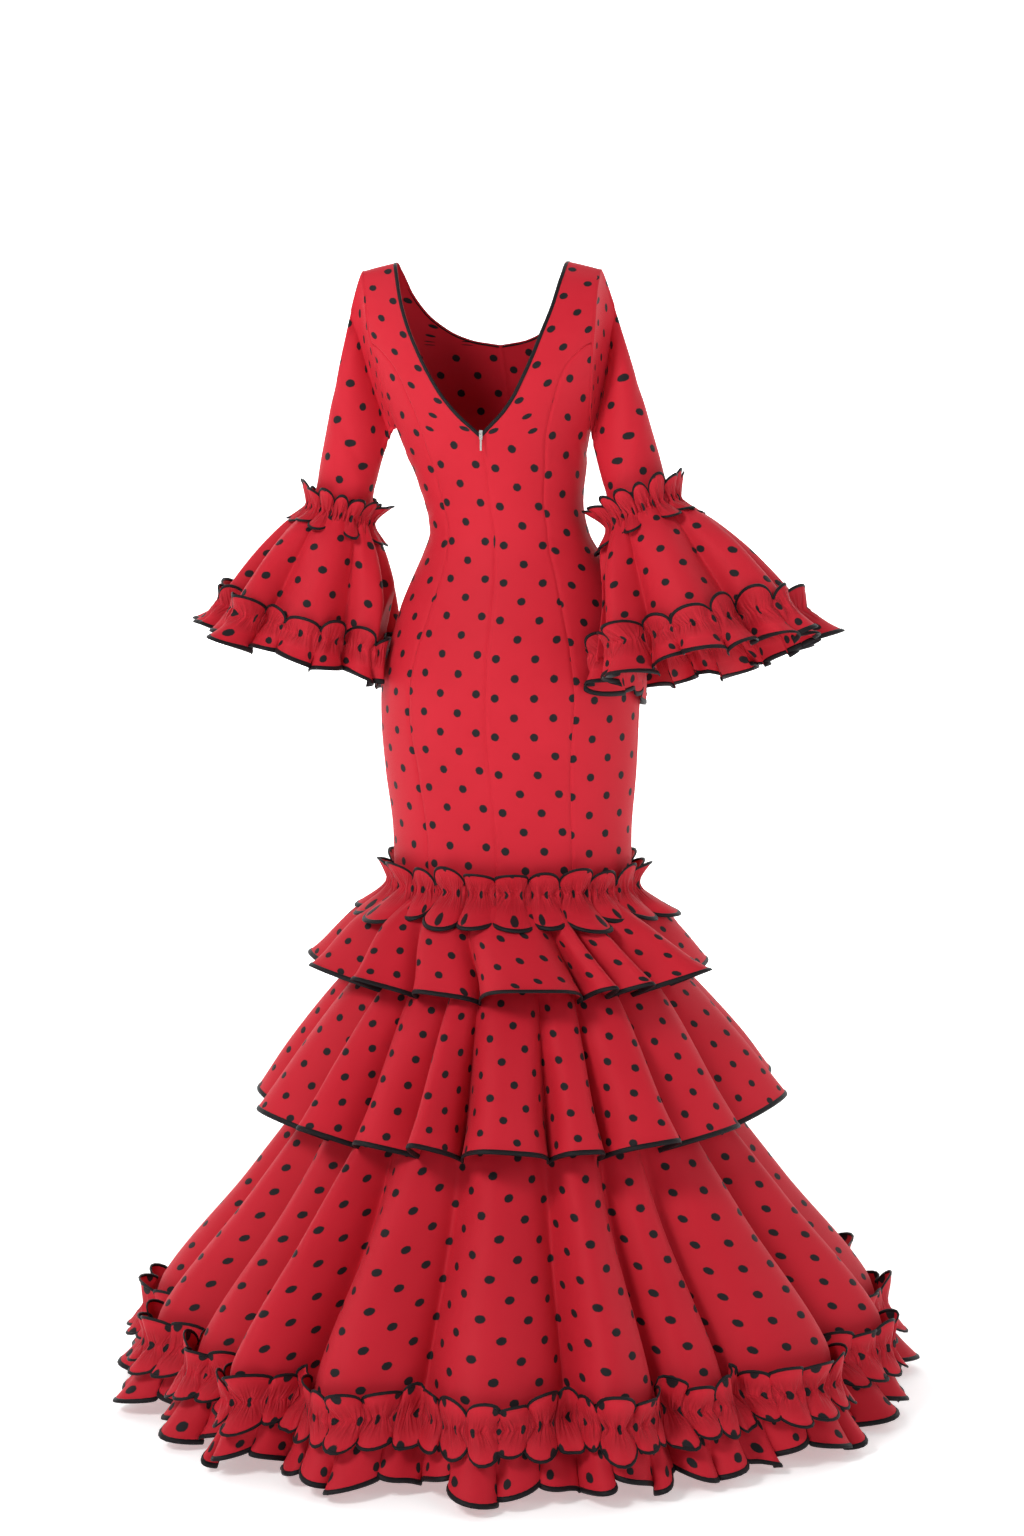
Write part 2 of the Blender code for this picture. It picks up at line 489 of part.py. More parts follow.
def make_zip(red, steel):
    """Concealed zip in the centre back: tape behind the seam, slider over the point of the neck, hinged pull tab."""
    drops = np.array([NECK_BACK_DROP + 0.012, *LOWER_DROPS[:6], ZIP_END_DROP])[:, None]
    spread = np.array([-0.011, 0, 0.011])[None, :] / along_table(BODY, "half", drops)
    tape = mesh_object("zip_tape", [body(spread, drops, -0.0030)])
    finished(outwards(tape, (0, 0)), 0.0008, red)

    seat = body(0.0, NECK_BACK_DROP)
    x, y, z = seat[0], seat[1], seat[2]
    half, top = 0.0021, z + 0.0058
    outside = block("slider_outside", (x - half, y + 0.0022, z - 0.006), (x + half, y + 0.0040, top))
    bridge = block("slider_bridge", (x - half, y - 0.0044, z + 0.0030), (x + half, y + 0.0030, top))
    inside = block("slider_inside", (x - half, y - 0.0044, z - 0.008), (x + half, y - 0.0024, top - 0.001))
    pin_y, pin_z = y + 0.0056, z
    ears = [block(f"slider_ear_{k}", (x + a, y + 0.0034, pin_z - 0.0016), (x + b, pin_y + 0.0011, pin_z + 0.0016))
            for k, (a, b) in enumerate(((-half, -half + 0.0007), (half - 0.0007, half)))]
    bpy.ops.mesh.primitive_cylinder_add(vertices=16, radius=0.00045, depth=2 * half - 0.0004,
                                        location=(x, pin_y, pin_z), rotation=(0, math.pi / 2, 0))
    pin = bpy.context.object
    pin.name = "slider_pin"
    slider = joined(outside, [bridge, inside, *ears, pin])
    slider.name = "zip_slider"
    for collection in list(slider.users_collection):
        collection.objects.unlink(slider)
    PARTS.objects.link(slider)
    slider.data.materials.append(steel)

    outline = bpy.data.curves.new("pull_tab_outline", "CURVE")
    outline.dimensions = "2D"
    outline.fill_mode = "BOTH"
    outline.extrude = 0.0012
    outline.resolution_u = 1
    barrel, plate, length = 0.0011, 0.0004, 0.0200
    sweep = np.linspace(math.asin(plate / barrel), 2 * math.pi - math.asin(plate / barrel), 17)
    rim = [(barrel * math.cos(a), barrel * math.sin(a)) for a in sweep] + [(length, -plate), (length, plate)]
    hole = [(0.00065 * math.cos(a), 0.00065 * math.sin(a)) for a in np.linspace(0, 2 * math.pi, 16, endpoint=False)]
    for points in (rim, hole):
        spline = outline.splines.new("POLY")
        spline.points.add(len(points) - 1)
        for target, (u, v) in zip(spline.points, points):
            target.co = (u, v, 0, 1)
        spline.use_cyclic_u = True
    flat = bpy.data.objects.new("pull_tab_flat", outline)
    CUTTERS.objects.link(flat)
    flat.rotation_euler = (0, math.pi / 2, 0)
    flat.location = (x, pin_y, pin_z)
    bpy.context.view_layer.update()
    data = bpy.data.meshes.new_from_object(flat.evaluated_get(bpy.context.evaluated_depsgraph_get()))
    placed = flat.matrix_world.copy()
    bpy.data.objects.remove(flat)
    mesh = bmesh.new()
    mesh.from_mesh(data)
    bmesh.ops.remove_doubles(mesh, verts=mesh.verts, dist=0.000001)
    mesh.to_mesh(data)
    mesh.free()
    tab = bpy.data.objects.new("zip_pull_tab", data)
    tab.matrix_world = placed
    PARTS.objects.link(tab)
    tab.data.materials.append(steel)


for left_over in list(bpy.data.objects):
    bpy.data.objects.remove(left_over)
PARTS = bpy.data.collections.new("flamenco_dress")
CUTTERS = bpy.data.collections.new("cutters")
bpy.context.scene.collection.children.link(PARTS)
bpy.context.scene.collection.children.link(CUTTERS)

red_cloth = principled("red_cloth", RED, 0.72)
black_cloth = principled("black_binding", BLACK, 0.6)
zip_steel = principled("zip_metal", STEEL, 0.25, 1.0)
make_panels(red_cloth)
make_neck_bindings(black_cloth)
make_arms(red_cloth, black_cloth)
make_skirt(red_cloth, black_cloth)
make_zip(red_cloth, zip_steel)
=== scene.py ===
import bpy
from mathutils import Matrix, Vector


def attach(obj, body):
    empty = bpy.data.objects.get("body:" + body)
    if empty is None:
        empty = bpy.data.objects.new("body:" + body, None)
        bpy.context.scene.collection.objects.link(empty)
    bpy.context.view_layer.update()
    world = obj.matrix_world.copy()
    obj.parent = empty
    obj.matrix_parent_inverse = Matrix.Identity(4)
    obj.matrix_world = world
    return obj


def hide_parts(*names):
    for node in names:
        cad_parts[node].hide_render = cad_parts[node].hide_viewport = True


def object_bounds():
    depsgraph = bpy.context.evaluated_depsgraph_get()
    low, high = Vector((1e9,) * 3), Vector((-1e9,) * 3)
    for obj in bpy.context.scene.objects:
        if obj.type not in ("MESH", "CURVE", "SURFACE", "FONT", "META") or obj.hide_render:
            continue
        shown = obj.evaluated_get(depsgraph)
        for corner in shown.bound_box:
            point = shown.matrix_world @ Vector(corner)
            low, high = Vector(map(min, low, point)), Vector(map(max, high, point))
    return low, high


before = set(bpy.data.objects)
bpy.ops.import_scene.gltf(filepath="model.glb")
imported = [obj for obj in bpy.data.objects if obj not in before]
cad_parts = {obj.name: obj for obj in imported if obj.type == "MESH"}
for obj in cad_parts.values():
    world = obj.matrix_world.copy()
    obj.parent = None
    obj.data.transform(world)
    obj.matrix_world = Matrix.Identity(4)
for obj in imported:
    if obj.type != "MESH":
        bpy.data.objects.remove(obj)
cad_box = [list(corner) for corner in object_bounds()]

import math

import bmesh
import bpy
import numpy as np

# ---- Studio: a white sweep of paper under soft daylight, with a camera at eye level behind the dress.
# The floor is a plain sheet just under the hem, with a sheet far behind as the wall. Three large soft lamps stand
# round the dress.

FLOOR = cad_box[0][2] - 0.0015
EYE = (-0.039, 3.8, -0.237)
LOOK_DOWN = 6.3
FILM_HEIGHT, LENS = 36.0, 68.2
GLOW_NEAR, GLOW_FAR = 1.7, 3.2      # where the floor's glow starts to change, and where it stops
FLOOR_SIZE, FLOOR_GLOWS = 40, (0.40, 0.95)
WALL_SIZE, WALL_AWAY, WALL_GLOWS = 60, 9, (1.0, 1.0)
ROOM_LIGHT = 0.26

camera_data = bpy.data.cameras.new("camera")
camera_data.sensor_fit = "VERTICAL"
camera_data.sensor_height = FILM_HEIGHT
camera_data.lens = LENS
camera = bpy.data.objects.new("camera", camera_data)
camera.location = EYE
camera.rotation_euler = (math.radians(90 - LOOK_DOWN), 0, math.radians(180))
bpy.context.scene.collection.objects.link(camera)
bpy.context.scene.camera = camera
bpy.context.scene.view_settings.view_transform = "Standard"


def paper_sheet(name, place, turn, size, glows):
    """Square sheet of white paper, lit through: it has one glow near the dress and another far from it."""
    paper = bpy.data.materials.new(f"{name}_paper")
    paper.use_nodes = True
    shader = paper.node_tree.nodes["Principled BSDF"]
    shader.inputs["Base Color"].default_value = (0.93, 0.93, 0.93, 1)
    shader.inputs["Roughness"].default_value = 0.9
    shader.inputs["Emission Color"].default_value = (1, 1, 1, 1)
    nodes, link = paper.node_tree.nodes, paper.node_tree.links.new
    away = nodes.new("ShaderNodeVectorMath")
    away.operation = "LENGTH"
    link(nodes.new("ShaderNodeNewGeometry").outputs["Position"], away.inputs[0])
    spread = nodes.new("ShaderNodeMapRange")
    link(away.outputs["Value"], spread.inputs["Value"])
    for socket, value in zip(("From Min", "From Max", "To Min", "To Max"), (GLOW_NEAR, GLOW_FAR, *glows)):
        spread.inputs[socket].default_value = value
    link(spread.outputs[0], shader.inputs["Emission Strength"])
    bpy.ops.mesh.primitive_plane_add(size=size, location=place, rotation=(turn, 0, 0))
    sheet = bpy.context.object
    sheet.name = name
    sheet.data.materials.append(paper)


paper_sheet("floor", (0, 0, FLOOR), 0, FLOOR_SIZE, FLOOR_GLOWS)
paper_sheet("wall", (0, -WALL_AWAY, FLOOR + WALL_SIZE / 4), math.pi / 2, WALL_SIZE, WALL_GLOWS)

world = bpy.data.worlds.new("studio")
bpy.context.scene.world = world
world.use_nodes = True
world.node_tree.nodes["Background"].inputs["Color"].default_value = (1.0, 1.0, 1.0, 1)
world.node_tree.nodes["Background"].inputs["Strength"].default_value = ROOM_LIGHT


def soft_lamp(name, place, aim, size, power):
    """Square area lamp, turned so that it shines from its place to its aim."""
    lamp = bpy.data.lights.new(name, "AREA")
    lamp.size = size
    lamp.energy = power
    made = bpy.data.objects.new(name, lamp)
    reach = np.array(aim, float) - np.array(place, float)
    made.location = place
    made.rotation_euler = (math.atan2(math.hypot(reach[0], reach[1]), -reach[2]), 0,
                           math.atan2(-reach[0], reach[1]))
    bpy.context.scene.collection.objects.link(made)


soft_lamp("key", (2.4, 2.8, 1.9), (0, 0, -0.6), 1.2, 108)
soft_lamp("fill", (-2.8, 2.6, 0.6), (0, 0, -0.8), 2.0, 26)
soft_lamp("front", (0.8, -3.2, 1.4), (0, 0, -0.7), 2.4, 12)

# ---- Princess panels: seven pieces of red crepe with printed black dots, cut from shoulder to knee, sewn to each
# other along curved seams that shape the waist. The seams are pressed open, so each edge dips into a fine groove.

NECK_FRONT_DROP = 0.104
NECK_BACK_DROP = 0.222
UNDERARM_DROP = 0.211
YOKE_SEAM_DROP = 0.104   # where the princess seam leaves the armhole
KNEE_DROP = 0.812
SHOULDER_FALL = 0.011    # how far the shoulder seam falls from neck to armhole
SHOULDER_REACH = 0.06    # the drop at which that fall has died out
CLOTH_WALL = 0.0009
SEAM_DEPTH, SEAM_REACH = 0.0011, 0.0022
PANEL_COLUMNS, SIDE_COLUMNS = 26, 20

# Sections of the body: drop, x of the centre, half width, depth behind and in front of it, turn in degrees
BODY = (
    ("drop", "centre", "half", "back", "front", "turn"),
    (0.0000, 0.000, 0.1900, 0.0003, 0.0003, 7),
    (0.0015, 0.000, 0.1895, 0.011, 0.011, 7),
    (0.0060, 0.000, 0.1880, 0.021, 0.021, 7),
    (0.015, -0.001, 0.1860, 0.034, 0.034, 8),
    (0.030, -0.002, 0.1820, 0.049, 0.048, 9),
    (0.060, -0.004, 0.1750, 0.070, 0.066, 10),
    (0.100, -0.007, 0.1640, 0.088, 0.086, 11),
    (0.150, -0.011, 0.1480, 0.098, 0.108, 11),
    (0.200, -0.014, 0.1310, 0.098, 0.122, 10),
    (0.242, -0.018, 0.1190, 0.093, 0.120, 10),
    (0.268, -0.023, 0.1127, 0.088, 0.110, 11),
    (0.294, -0.026, 0.1070, 0.082, 0.099, 12),
    (0.319, -0.030, 0.1035, 0.079, 0.092, 13),
    (0.345, -0.035, 0.1045, 0.078, 0.091, 14),
    (0.371, -0.038, 0.1155, 0.083, 0.094, 15),
    (0.397, -0.041, 0.1300, 0.093, 0.099, 15),
    (0.423, -0.042, 0.1425, 0.104, 0.103, 15),
    (0.449, -0.042, 0.1525, 0.114, 0.106, 15),
    (0.500, -0.040, 0.1650, 0.128, 0.110, 15),
    (0.553, -0.037, 0.1720, 0.132, 0.112, 14),
    (0.600, -0.036, 0.1710, 0.128, 0.112, 14),
    (0.659, -0.037, 0.1670, 0.118, 0.111, 13),
    (0.739, -0.039, 0.1585, 0.112, 0.109, 11),
    (0.812, -0.040, 0.1570, 0.114, 0.112, 10),
)

# Edges of the pattern pieces: how far each lies from the centre back, in degrees round the body
NECK = (("drop", "angle"), (0.0, 35.5), (0.051, 33.7), (0.115, 28.0), (0.166, 20.2), (0.191, 13.5),
        (NECK_BACK_DROP, 0.0))
FRONT_NECK = (("drop", "angle"), (0.0, 35.5), (0.030, 35.0), (0.060, 31.0), (0.085, 22.5), (0.098, 12.5),
              (NECK_FRONT_DROP, 0.0))
ARMHOLE = (("drop", "angle"), (0.0, 54.5), (0.050, 58.0), (0.088, 61.7), (0.126, 65.5), (0.170, 73.5),
           (0.200, 82.0), (UNDERARM_DROP, 90.0))
PRINCESS = (("drop", "angle"), (YOKE_SEAM_DROP, 63.2), (0.112, 56.0), (0.140, 46.5), (0.165, 43.8),
            (0.225, 40.3), (0.340, 39.5), (0.385, 35.8), (0.420, 35.0), (0.455, 36.0), (0.500, 38.5),
            (0.570, 39.5), (0.660, 37.0), (0.812, 37.0))

# Soft creases of the worn body: angle round from the centre back, drop, half length, depth, tilt down in degrees
CREASES = (
    ("angle", "drop", "reach", "depth", "tilt"),
    (-62, 0.318, 0.040, 0.0016, -8), (-70, 0.335, 0.034, 0.0013, 6), (-58, 0.300, 0.030, 0.0010, -14),
    (66, 0.322, 0.038, 0.0014, 8), (60, 0.343, 0.030, 0.0012, -6), (72, 0.300, 0.028, 0.0009, 12),
    (-40, 0.352, 0.026, 0.0009, -10), (38, 0.336, 0.026, 0.0008, 10), (-76, 0.232, 0.030, 0.0016, -34),
    (76, 0.236, 0.032, 0.0015, 34), (-66, 0.262, 0.028, 0.0010, -24), (68, 0.268, 0.026, 0.0009, 26),
    (12, 0.620, 0.045, 0.0010, 14), (-16, 0.628, 0.050, 0.0011, -12), (-4, 0.700, 0.040, 0.0008, 5),
    (30, 0.735, 0.038, 0.0008, 18), (-34, 0.742, 0.040, 0.0008, -16), (118, 0.326, 0.040, 0.0014, -8),
    (-120, 0.330, 0.042, 0.0014, 8), (146, 0.345, 0.030, 0.0010, 6), (-148, 0.318, 0.030, 0.0009, -6),
    (128, 0.640, 0.045, 0.0010, 16), (-130, 0.655, 0.045, 0.0010, -14), (104, 0.236, 0.030, 0.0014, -30),
    (-104, 0.240, 0.030, 0.0014, 30),
)


CREASE_RADIUS = 0.12                             # of the body, where creases lie: turns angles into lengths
CREASE_WIDE, CREASE_ROLL = 0.0065, 0.55          # half width of a trough, and how high the roll under it stands
ROLL_BELOW, ROLL_WIDE = 0.011, 0.008


def column(table, name):
    """One named column of a table, as numbers."""
    return np.array([row[table[0].index(name)] for row in table[1:]], float)


def smooth(table, name, at):
    """A column at any place down the table: cubic between its rows, with the harmonic mean of neighbouring slopes."""
    x, y = column(table, table[0][0]), column(table, name)
    rise = np.diff(y) / np.diff(x)
    total = rise[:-1] + rise[1:]
    level = rise[:-1] * rise[1:] <= 0
    inner = np.where(level, 0, 2 * rise[:-1] * rise[1:] / np.where(level, 1, total))
    slope = np.concatenate([rise[:1], inner, rise[-1:]])
    at = np.clip(at, x[0], x[-1])
    k = np.clip(np.searchsorted(x, at, side="right") - 1, 0, len(x) - 2)
    step = x[k + 1] - x[k]
    t = (at - x[k]) / step
    return ((1 + 2 * t) * (1 - t) ** 2 * y[k] + t * (1 - t) ** 2 * step * slope[k]
            + t * t * (3 - 2 * t) * y[k + 1] + t * t * (t - 1) * step * slope[k + 1])


def bump(x):
    """1 in the middle, falling smoothly to 0 on both sides."""
    return np.exp(-x * x)


def creased(angle, drop):
    """Depth of all creases at a point of the body: each is a trough, long one way and narrow across."""
    total = np.zeros(np.broadcast(angle, drop).shape)
    for at, down, reach, depth, tilt in CREASES[1:]:
        across = (np.mod(angle - math.radians(at) + math.pi, 2 * math.pi) - math.pi) * CREASE_RADIUS
        fall = drop - down - across * math.tan(math.radians(tilt))
        ridge = bump(fall / CREASE_WIDE) - CREASE_ROLL * bump((fall - ROLL_BELOW) / ROLL_WIDE)
        total = total + depth * ridge * bump(across / reach)
    return total


def body(angle, drop, out=0.0):
    """Point of the body's surface: each section is two half ellipses, turned about its centre."""
    angle, drop = np.broadcast_arrays(np.asarray(angle, float), np.asarray(drop, float))
    half = smooth(BODY, "half", drop) + out
    depth = np.where(np.cos(angle) > 0, smooth(BODY, "back", drop), smooth(BODY, "front", drop)) + out
    turn = np.radians(smooth(BODY, "turn", drop))
    side, deep = half * np.sin(angle), depth * np.cos(angle)
    x = smooth(BODY, "centre", drop) + side * np.cos(turn) + deep * np.sin(turn)
    return np.stack([x, deep * np.cos(turn) - side * np.sin(turn), -drop], axis=-1)


def edge_angle(table, drop):
    """Angle from the centre back at which an edge lies, in radians."""
    return np.radians(smooth(table, "angle", drop))


def outer_edge(drop):
    """Armhole above the start of the princess seam, princess seam below it."""
    return np.where(drop < YOKE_SEAM_DROP, edge_angle(ARMHOLE, drop), edge_angle(PRINCESS, drop))


def side_edge(drop):
    """Armhole above the underarm, side seam below it."""
    return np.where(drop < UNDERARM_DROP, edge_angle(ARMHOLE, drop), math.pi / 2)


def lengths(points, axis):
    """Distance run along one axis of a grid of points, from its first row or column."""
    step = np.linalg.norm(np.diff(points, axis=axis), axis=-1)
    start = np.zeros_like(np.take(step, [0], axis=axis))
    return np.concatenate([start, np.cumsum(step, axis=axis)], axis=axis)


def flat_map(points, across_from=0.5):
    """Map of a piece in metres of its flat cloth: v runs down one column, at a share of each row, and u across."""
    across, down = lengths(points, 1), lengths(points, 0)
    middle = round((points.shape[1] - 1) * across_from)
    u = across - across[:, middle:middle + 1]
    v = np.broadcast_to(down[:, middle:middle + 1], u.shape)
    return np.stack([u, -v], axis=-1)


def surface(name, sheets, inside, wall, material, offset=-1.0):
    """Mesh from grids of points, each with its flat map. Faces turn away from the inside point or line of points.

    A grid whose map has one column more than its points closes on itself. Grids are welded where they meet."""
    made_points, made_faces, made_map = [], [], []
    start = 0
    for points, flat in sheets:
        rows, columns = points.shape[:2]
        wide = flat.shape[1]
        r, c = np.meshgrid(np.arange(rows - 1), np.arange(wide - 1), indexing="ij")
        far = (c + 1) % columns
        faces = np.stack([r * columns + c, (r + 1) * columns + c, (r + 1) * columns + far, r * columns + far], -1)
        corners = np.stack([r * wide + c, (r + 1) * wide + c, (r + 1) * wide + c + 1, r * wide + c + 1], -1)
        faces, corners = faces.reshape(-1, 4), corners.reshape(-1, 4)
        flat_points = points.reshape(-1, 3)
        a, b, d = (flat_points[faces[:, k]] for k in (0, 1, 3))
        middle = np.broadcast_to(inside, points.shape).reshape(-1, 3)[faces[:, 0]]
        if (np.cross(b - a, d - a) * (a - middle)).sum() < 0:
            faces, corners = faces[:, ::-1], corners[:, ::-1]
        made_points.append(flat_points)
        made_faces.append(faces + start)
        made_map.append(flat.reshape(-1, 2)[corners.reshape(-1)])
        start += len(flat_points)
    mesh = bpy.data.meshes.new(name)
    mesh.from_pydata(np.concatenate(made_points).tolist(), [], np.concatenate(made_faces).tolist())
    layer = mesh.uv_layers.new(name="cloth")
    layer.data.foreach_set("uv", np.concatenate(made_map).astype(np.float32).reshape(-1))
    if len(sheets) > 1:
        welded = bmesh.new()
        welded.from_mesh(mesh)
        bmesh.ops.remove_doubles(welded, verts=welded.verts, dist=0.00005)
        welded.to_mesh(mesh)
        welded.free()
    mesh.shade_smooth()
    made = bpy.data.objects.new(name, mesh)
    bpy.context.scene.collection.objects.link(made)
    made.data.materials.append(material)
    if wall:
        solidify = made.modifiers.new("wall", "SOLIDIFY")
        solidify.thickness = wall
        solidify.offset = offset
    return made


def new_material(name, colour, roughness):
    """Material, its node tree and its Principled BSDF, in one colour and roughness."""
    material = bpy.data.materials.new(name)
    material.use_nodes = True
    tree = material.node_tree
    shader = tree.nodes["Principled BSDF"]
    shader.inputs["Base Color"].default_value = (*colour, 1)
    shader.inputs["Roughness"].default_value = roughness
    return material, tree, shader


def add_node(tree, kind, settings=(), **inputs):
    """Shader node of one kind: settings are its own properties, inputs its sockets, each a value or a socket."""
    node = tree.nodes.new(f"ShaderNode{kind}")
    for key, value in settings:
        setattr(node, key, value)
    for key, value in inputs.items():
        socket = node.inputs[int(key[1:])] if key[1:].isdigit() else node.inputs[key.replace("_", " ")]
        if isinstance(value, bpy.types.NodeSocket):
            tree.links.new(value, socket)
        else:
            socket.default_value = value
    return node


def maths(tree, operation, *values):
    """Result of a Math node on values or sockets."""
    numbered = {f"_{place}": value for place, value in enumerate(values)}
    return add_node(tree, "Math", [("operation", operation)], **numbered).outputs["Value"]


def vector_maths(tree, operation, *values):
    """Result of a Vector Math node: a length as a number, anything else as a vector."""
    numbered = {f"_{place}": value for place, value in enumerate(values)}
    node = add_node(tree, "VectorMath", [("operation", operation)], **numbered)
    return node.outputs["Value" if operation == "LENGTH" else "Vector"]


def mixed(tree, factor, first, second, blend="MIX"):
    """Colour of a Mix node between two colours, each a value or a socket."""
    return add_node(tree, "Mix", [("data_type", "RGBA"), ("blend_type", blend)], _0=factor, _6=first,
                    _7=second).outputs[2]


DOT_REPEAT = 0.050      # from dot to dot along a row
DOT_RADIUS = 0.0053
DOT_SOFTNESS = 0.0004
DOT_WOBBLE = 0.0012     # how unevenly the dots' edges are printed
GATHER_REACH, GATHER_SCALE, GATHER_STRETCH = 0.022, 210.0, 0.10
RED_DARK, RED_LIGHT, INK = (0.56, 0.010, 0.024, 1), (0.64, 0.016, 0.034, 1), (0.010, 0.008, 0.010, 1)
# Painted shade: a darkening multiplied into the low places of the gathers near a strip's gathering line
PAINTED_HOLLOW_SHADE = (0.55, 0.42, 0.45, 1)
THREAD_SCALE, GRAIN_SCALE = 560.0, 1500.0


def dotted_crepe(name, gathers):
    """Red crepe with black dots: two square lattices of dots, the second half a repeat across and down.

    A fine pebbled noise is the crepe's grain, a crossed wave its threads, and a broad noise its uneven dye. Gathers
    are fine creases square to a strip's gathering line, that fade away from it: their height in metres. Painted shade
    darkens their low places near the line, and fades away from it as they do."""
    material, tree, shader = new_material(name, (0.60, 0.02, 0.034), 0.68)
    uv = add_node(tree, "UVMap", [("uv_map", "cloth")]).outputs["UV"]
    wobble = add_node(tree, "TexNoise", Vector=uv, Scale=420.0, Detail=1.0).outputs["Color"]
    wobble = vector_maths(tree, "SUBTRACT", wobble, (0.5, 0.5, 0.5))
    shaky = vector_maths(tree, "MULTIPLY_ADD", wobble, (DOT_WOBBLE, DOT_WOBBLE, 0), uv)
    nearest = []
    for shift in (0.0, 0.5):
        cell = vector_maths(tree, "MULTIPLY_ADD", shaky, (1 / DOT_REPEAT, 1 / DOT_REPEAT, 0), (shift, shift, 0))
        inside = vector_maths(tree, "FRACTION", cell)
        centred = vector_maths(tree, "SUBTRACT", inside, (0.5, 0.5, 0))
        flat = vector_maths(tree, "MULTIPLY", centred, (DOT_REPEAT, DOT_REPEAT, 0))
        nearest.append(vector_maths(tree, "LENGTH", flat))
    dot = add_node(tree, "MapRange", Value=maths(tree, "MINIMUM", *nearest),
                   From_Min=DOT_RADIUS + DOT_SOFTNESS, From_Max=DOT_RADIUS - DOT_SOFTNESS)
    dye = add_node(tree, "TexNoise", Vector=uv, Scale=9.0, Detail=3.0)
    grain = add_node(tree, "TexNoise", Vector=uv, Scale=GRAIN_SCALE, Detail=2.0, Roughness=0.6)
    shade = mixed(tree, dye.outputs["Fac"], RED_DARK, RED_LIGHT)
    speckled = mixed(tree, 0.30, shade, grain.outputs["Color"], "MULTIPLY")
    printed = mixed(tree, dot.outputs[0], speckled, INK)
    tree.links.new(printed, shader.inputs["Base Color"])
    rough = add_node(tree, "MapRange", Value=grain.outputs["Fac"], To_Min=0.60, To_Max=0.76)
    tree.links.new(rough.outputs[0], shader.inputs["Roughness"])
    warp, weft = (add_node(tree, "TexWave", [("bands_direction", way)], Vector=uv, Scale=THREAD_SCALE,
                           Distortion=1.5).outputs["Fac"] for way in "XY")
    relief = maths(tree, "ADD", maths(tree, "MULTIPLY", warp, weft), grain.outputs["Fac"])
    relief_bump = add_node(tree, "Bump", Height=relief, Strength=0.22, Distance=0.0003)
    if gathers:
        place = add_node(tree, "SeparateXYZ", Vector=uv)
        near = add_node(tree, "MapRange", Value=maths(tree, "ABSOLUTE", place.outputs["Y"]), From_Min=0.0,
                        From_Max=GATHER_REACH, To_Min=1.0, To_Max=0.0).outputs[0]
        stretched = vector_maths(tree, "MULTIPLY", uv, (1, GATHER_STRETCH, 0))
        creases = add_node(tree, "TexNoise", Vector=stretched, Scale=GATHER_SCALE, Detail=2.0,
                           Roughness=0.4)
        height = maths(tree, "MULTIPLY", creases.outputs["Fac"], near)
        relief_bump = add_node(tree, "Bump", Height=height, Strength=1.0, Distance=gathers,
                               Normal=relief_bump.outputs["Normal"])
        # Painted shade: the gathers' low places near the gathering line get a darker base colour
        hollow_shade_mask = add_node(tree, "MapRange", Value=height, From_Min=0.20, From_Max=0.48)
        deep = mixed(tree, near, printed, PAINTED_HOLLOW_SHADE, "MULTIPLY")
        tree.links.new(mixed(tree, hollow_shade_mask.outputs[0], deep, printed), shader.inputs["Base Color"])
    tree.links.new(relief_bump.outputs["Normal"], shader.inputs["Normal"])
    shader.inputs["Specular IOR Level"].default_value = 0.20
    shader.inputs["Sheen Weight"].default_value = 0.04
    shader.inputs["Sheen Roughness"].default_value = 0.45
    shader.inputs["Sheen Tint"].default_value = (1.0, 0.55, 0.55, 1)
    return material


CREPE = dotted_crepe("dotted_crepe", 0.0)
GATHERED_CREPE = dotted_crepe("gathered_crepe", 0.006)


def on_dress(piece, slot, *nodes):
    """The piece moves with the dress and stands for CAD nodes, which are hidden. The slot is not used."""
    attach(piece, "dress")
    if nodes:
        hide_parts(*nodes)


def looped(points):
    """A closed grid of points with its first column repeated at its end."""
    return np.concatenate([points, points[:, :1]], axis=1)


def row_middles(points):
    """Middle of each row of a grid of points."""
    return points.mean(axis=1, keepdims=True)


def seam_dip(distance):
    """How far the cloth sinks at a distance from a seam."""
    return -SEAM_DEPTH * bump(distance / SEAM_REACH)


def panel(inner, outer, drops, columns, facing):
    """Grid between two edges of the body. facing is the side, 1 on the left, and whether it lies in front."""
    side, front = facing
    drop = np.asarray(drops)[:, None]
    share = (1 - np.cos(np.pi * np.linspace(0, 1, columns + 1)[None, :])) / 2
    first, last = inner(drop), outer(drop)
    angle = first + (last - first) * share
    width = np.abs(last - first) * smooth(BODY, "half", drop)
    dip = seam_dip(width * share) + seam_dip(width * (1 - share))
    fall = SHOULDER_FALL * share * np.clip(1 - drop / SHOULDER_REACH, 0, 1)
    angle = side * (math.pi - angle if front else angle)
    points = body(angle, drop, dip - creased(angle, drop))
    points[..., 2] -= fall
    return points


def drops_between(first, last, step):
    """Evenly spaced drops from first to last, about a step apart."""
    return np.linspace(first, last, max(2, round((last - first) / step) + 1))


yoke_drops = np.concatenate([[0.0, 0.0008, 0.002, 0.0045, 0.009], drops_between(0.015, YOKE_SEAM_DROP, 0.006)])
back_drops = np.concatenate([yoke_drops, drops_between(YOKE_SEAM_DROP, NECK_BACK_DROP, 0.005)[1:],
                             drops_between(NECK_BACK_DROP, KNEE_DROP, 0.006)[1:]])
side_drops = np.concatenate([drops_between(YOKE_SEAM_DROP + 0.002, NECK_BACK_DROP, 0.004),
                             drops_between(NECK_BACK_DROP, KNEE_DROP, 0.006)[1:]])


def body_centre(points):
    """Point inside the body a little below each point, so that the top of the shoulders faces up."""
    inside = np.zeros(points.shape)
    inside[..., 0] = smooth(BODY, "centre", -points[..., 2])
    inside[..., 2] = points[..., 2] - 0.02
    return inside


DOT_SHIFT = np.array([DOT_REPEAT / 4, 0.0])    # keeps the dots off the centre back seam


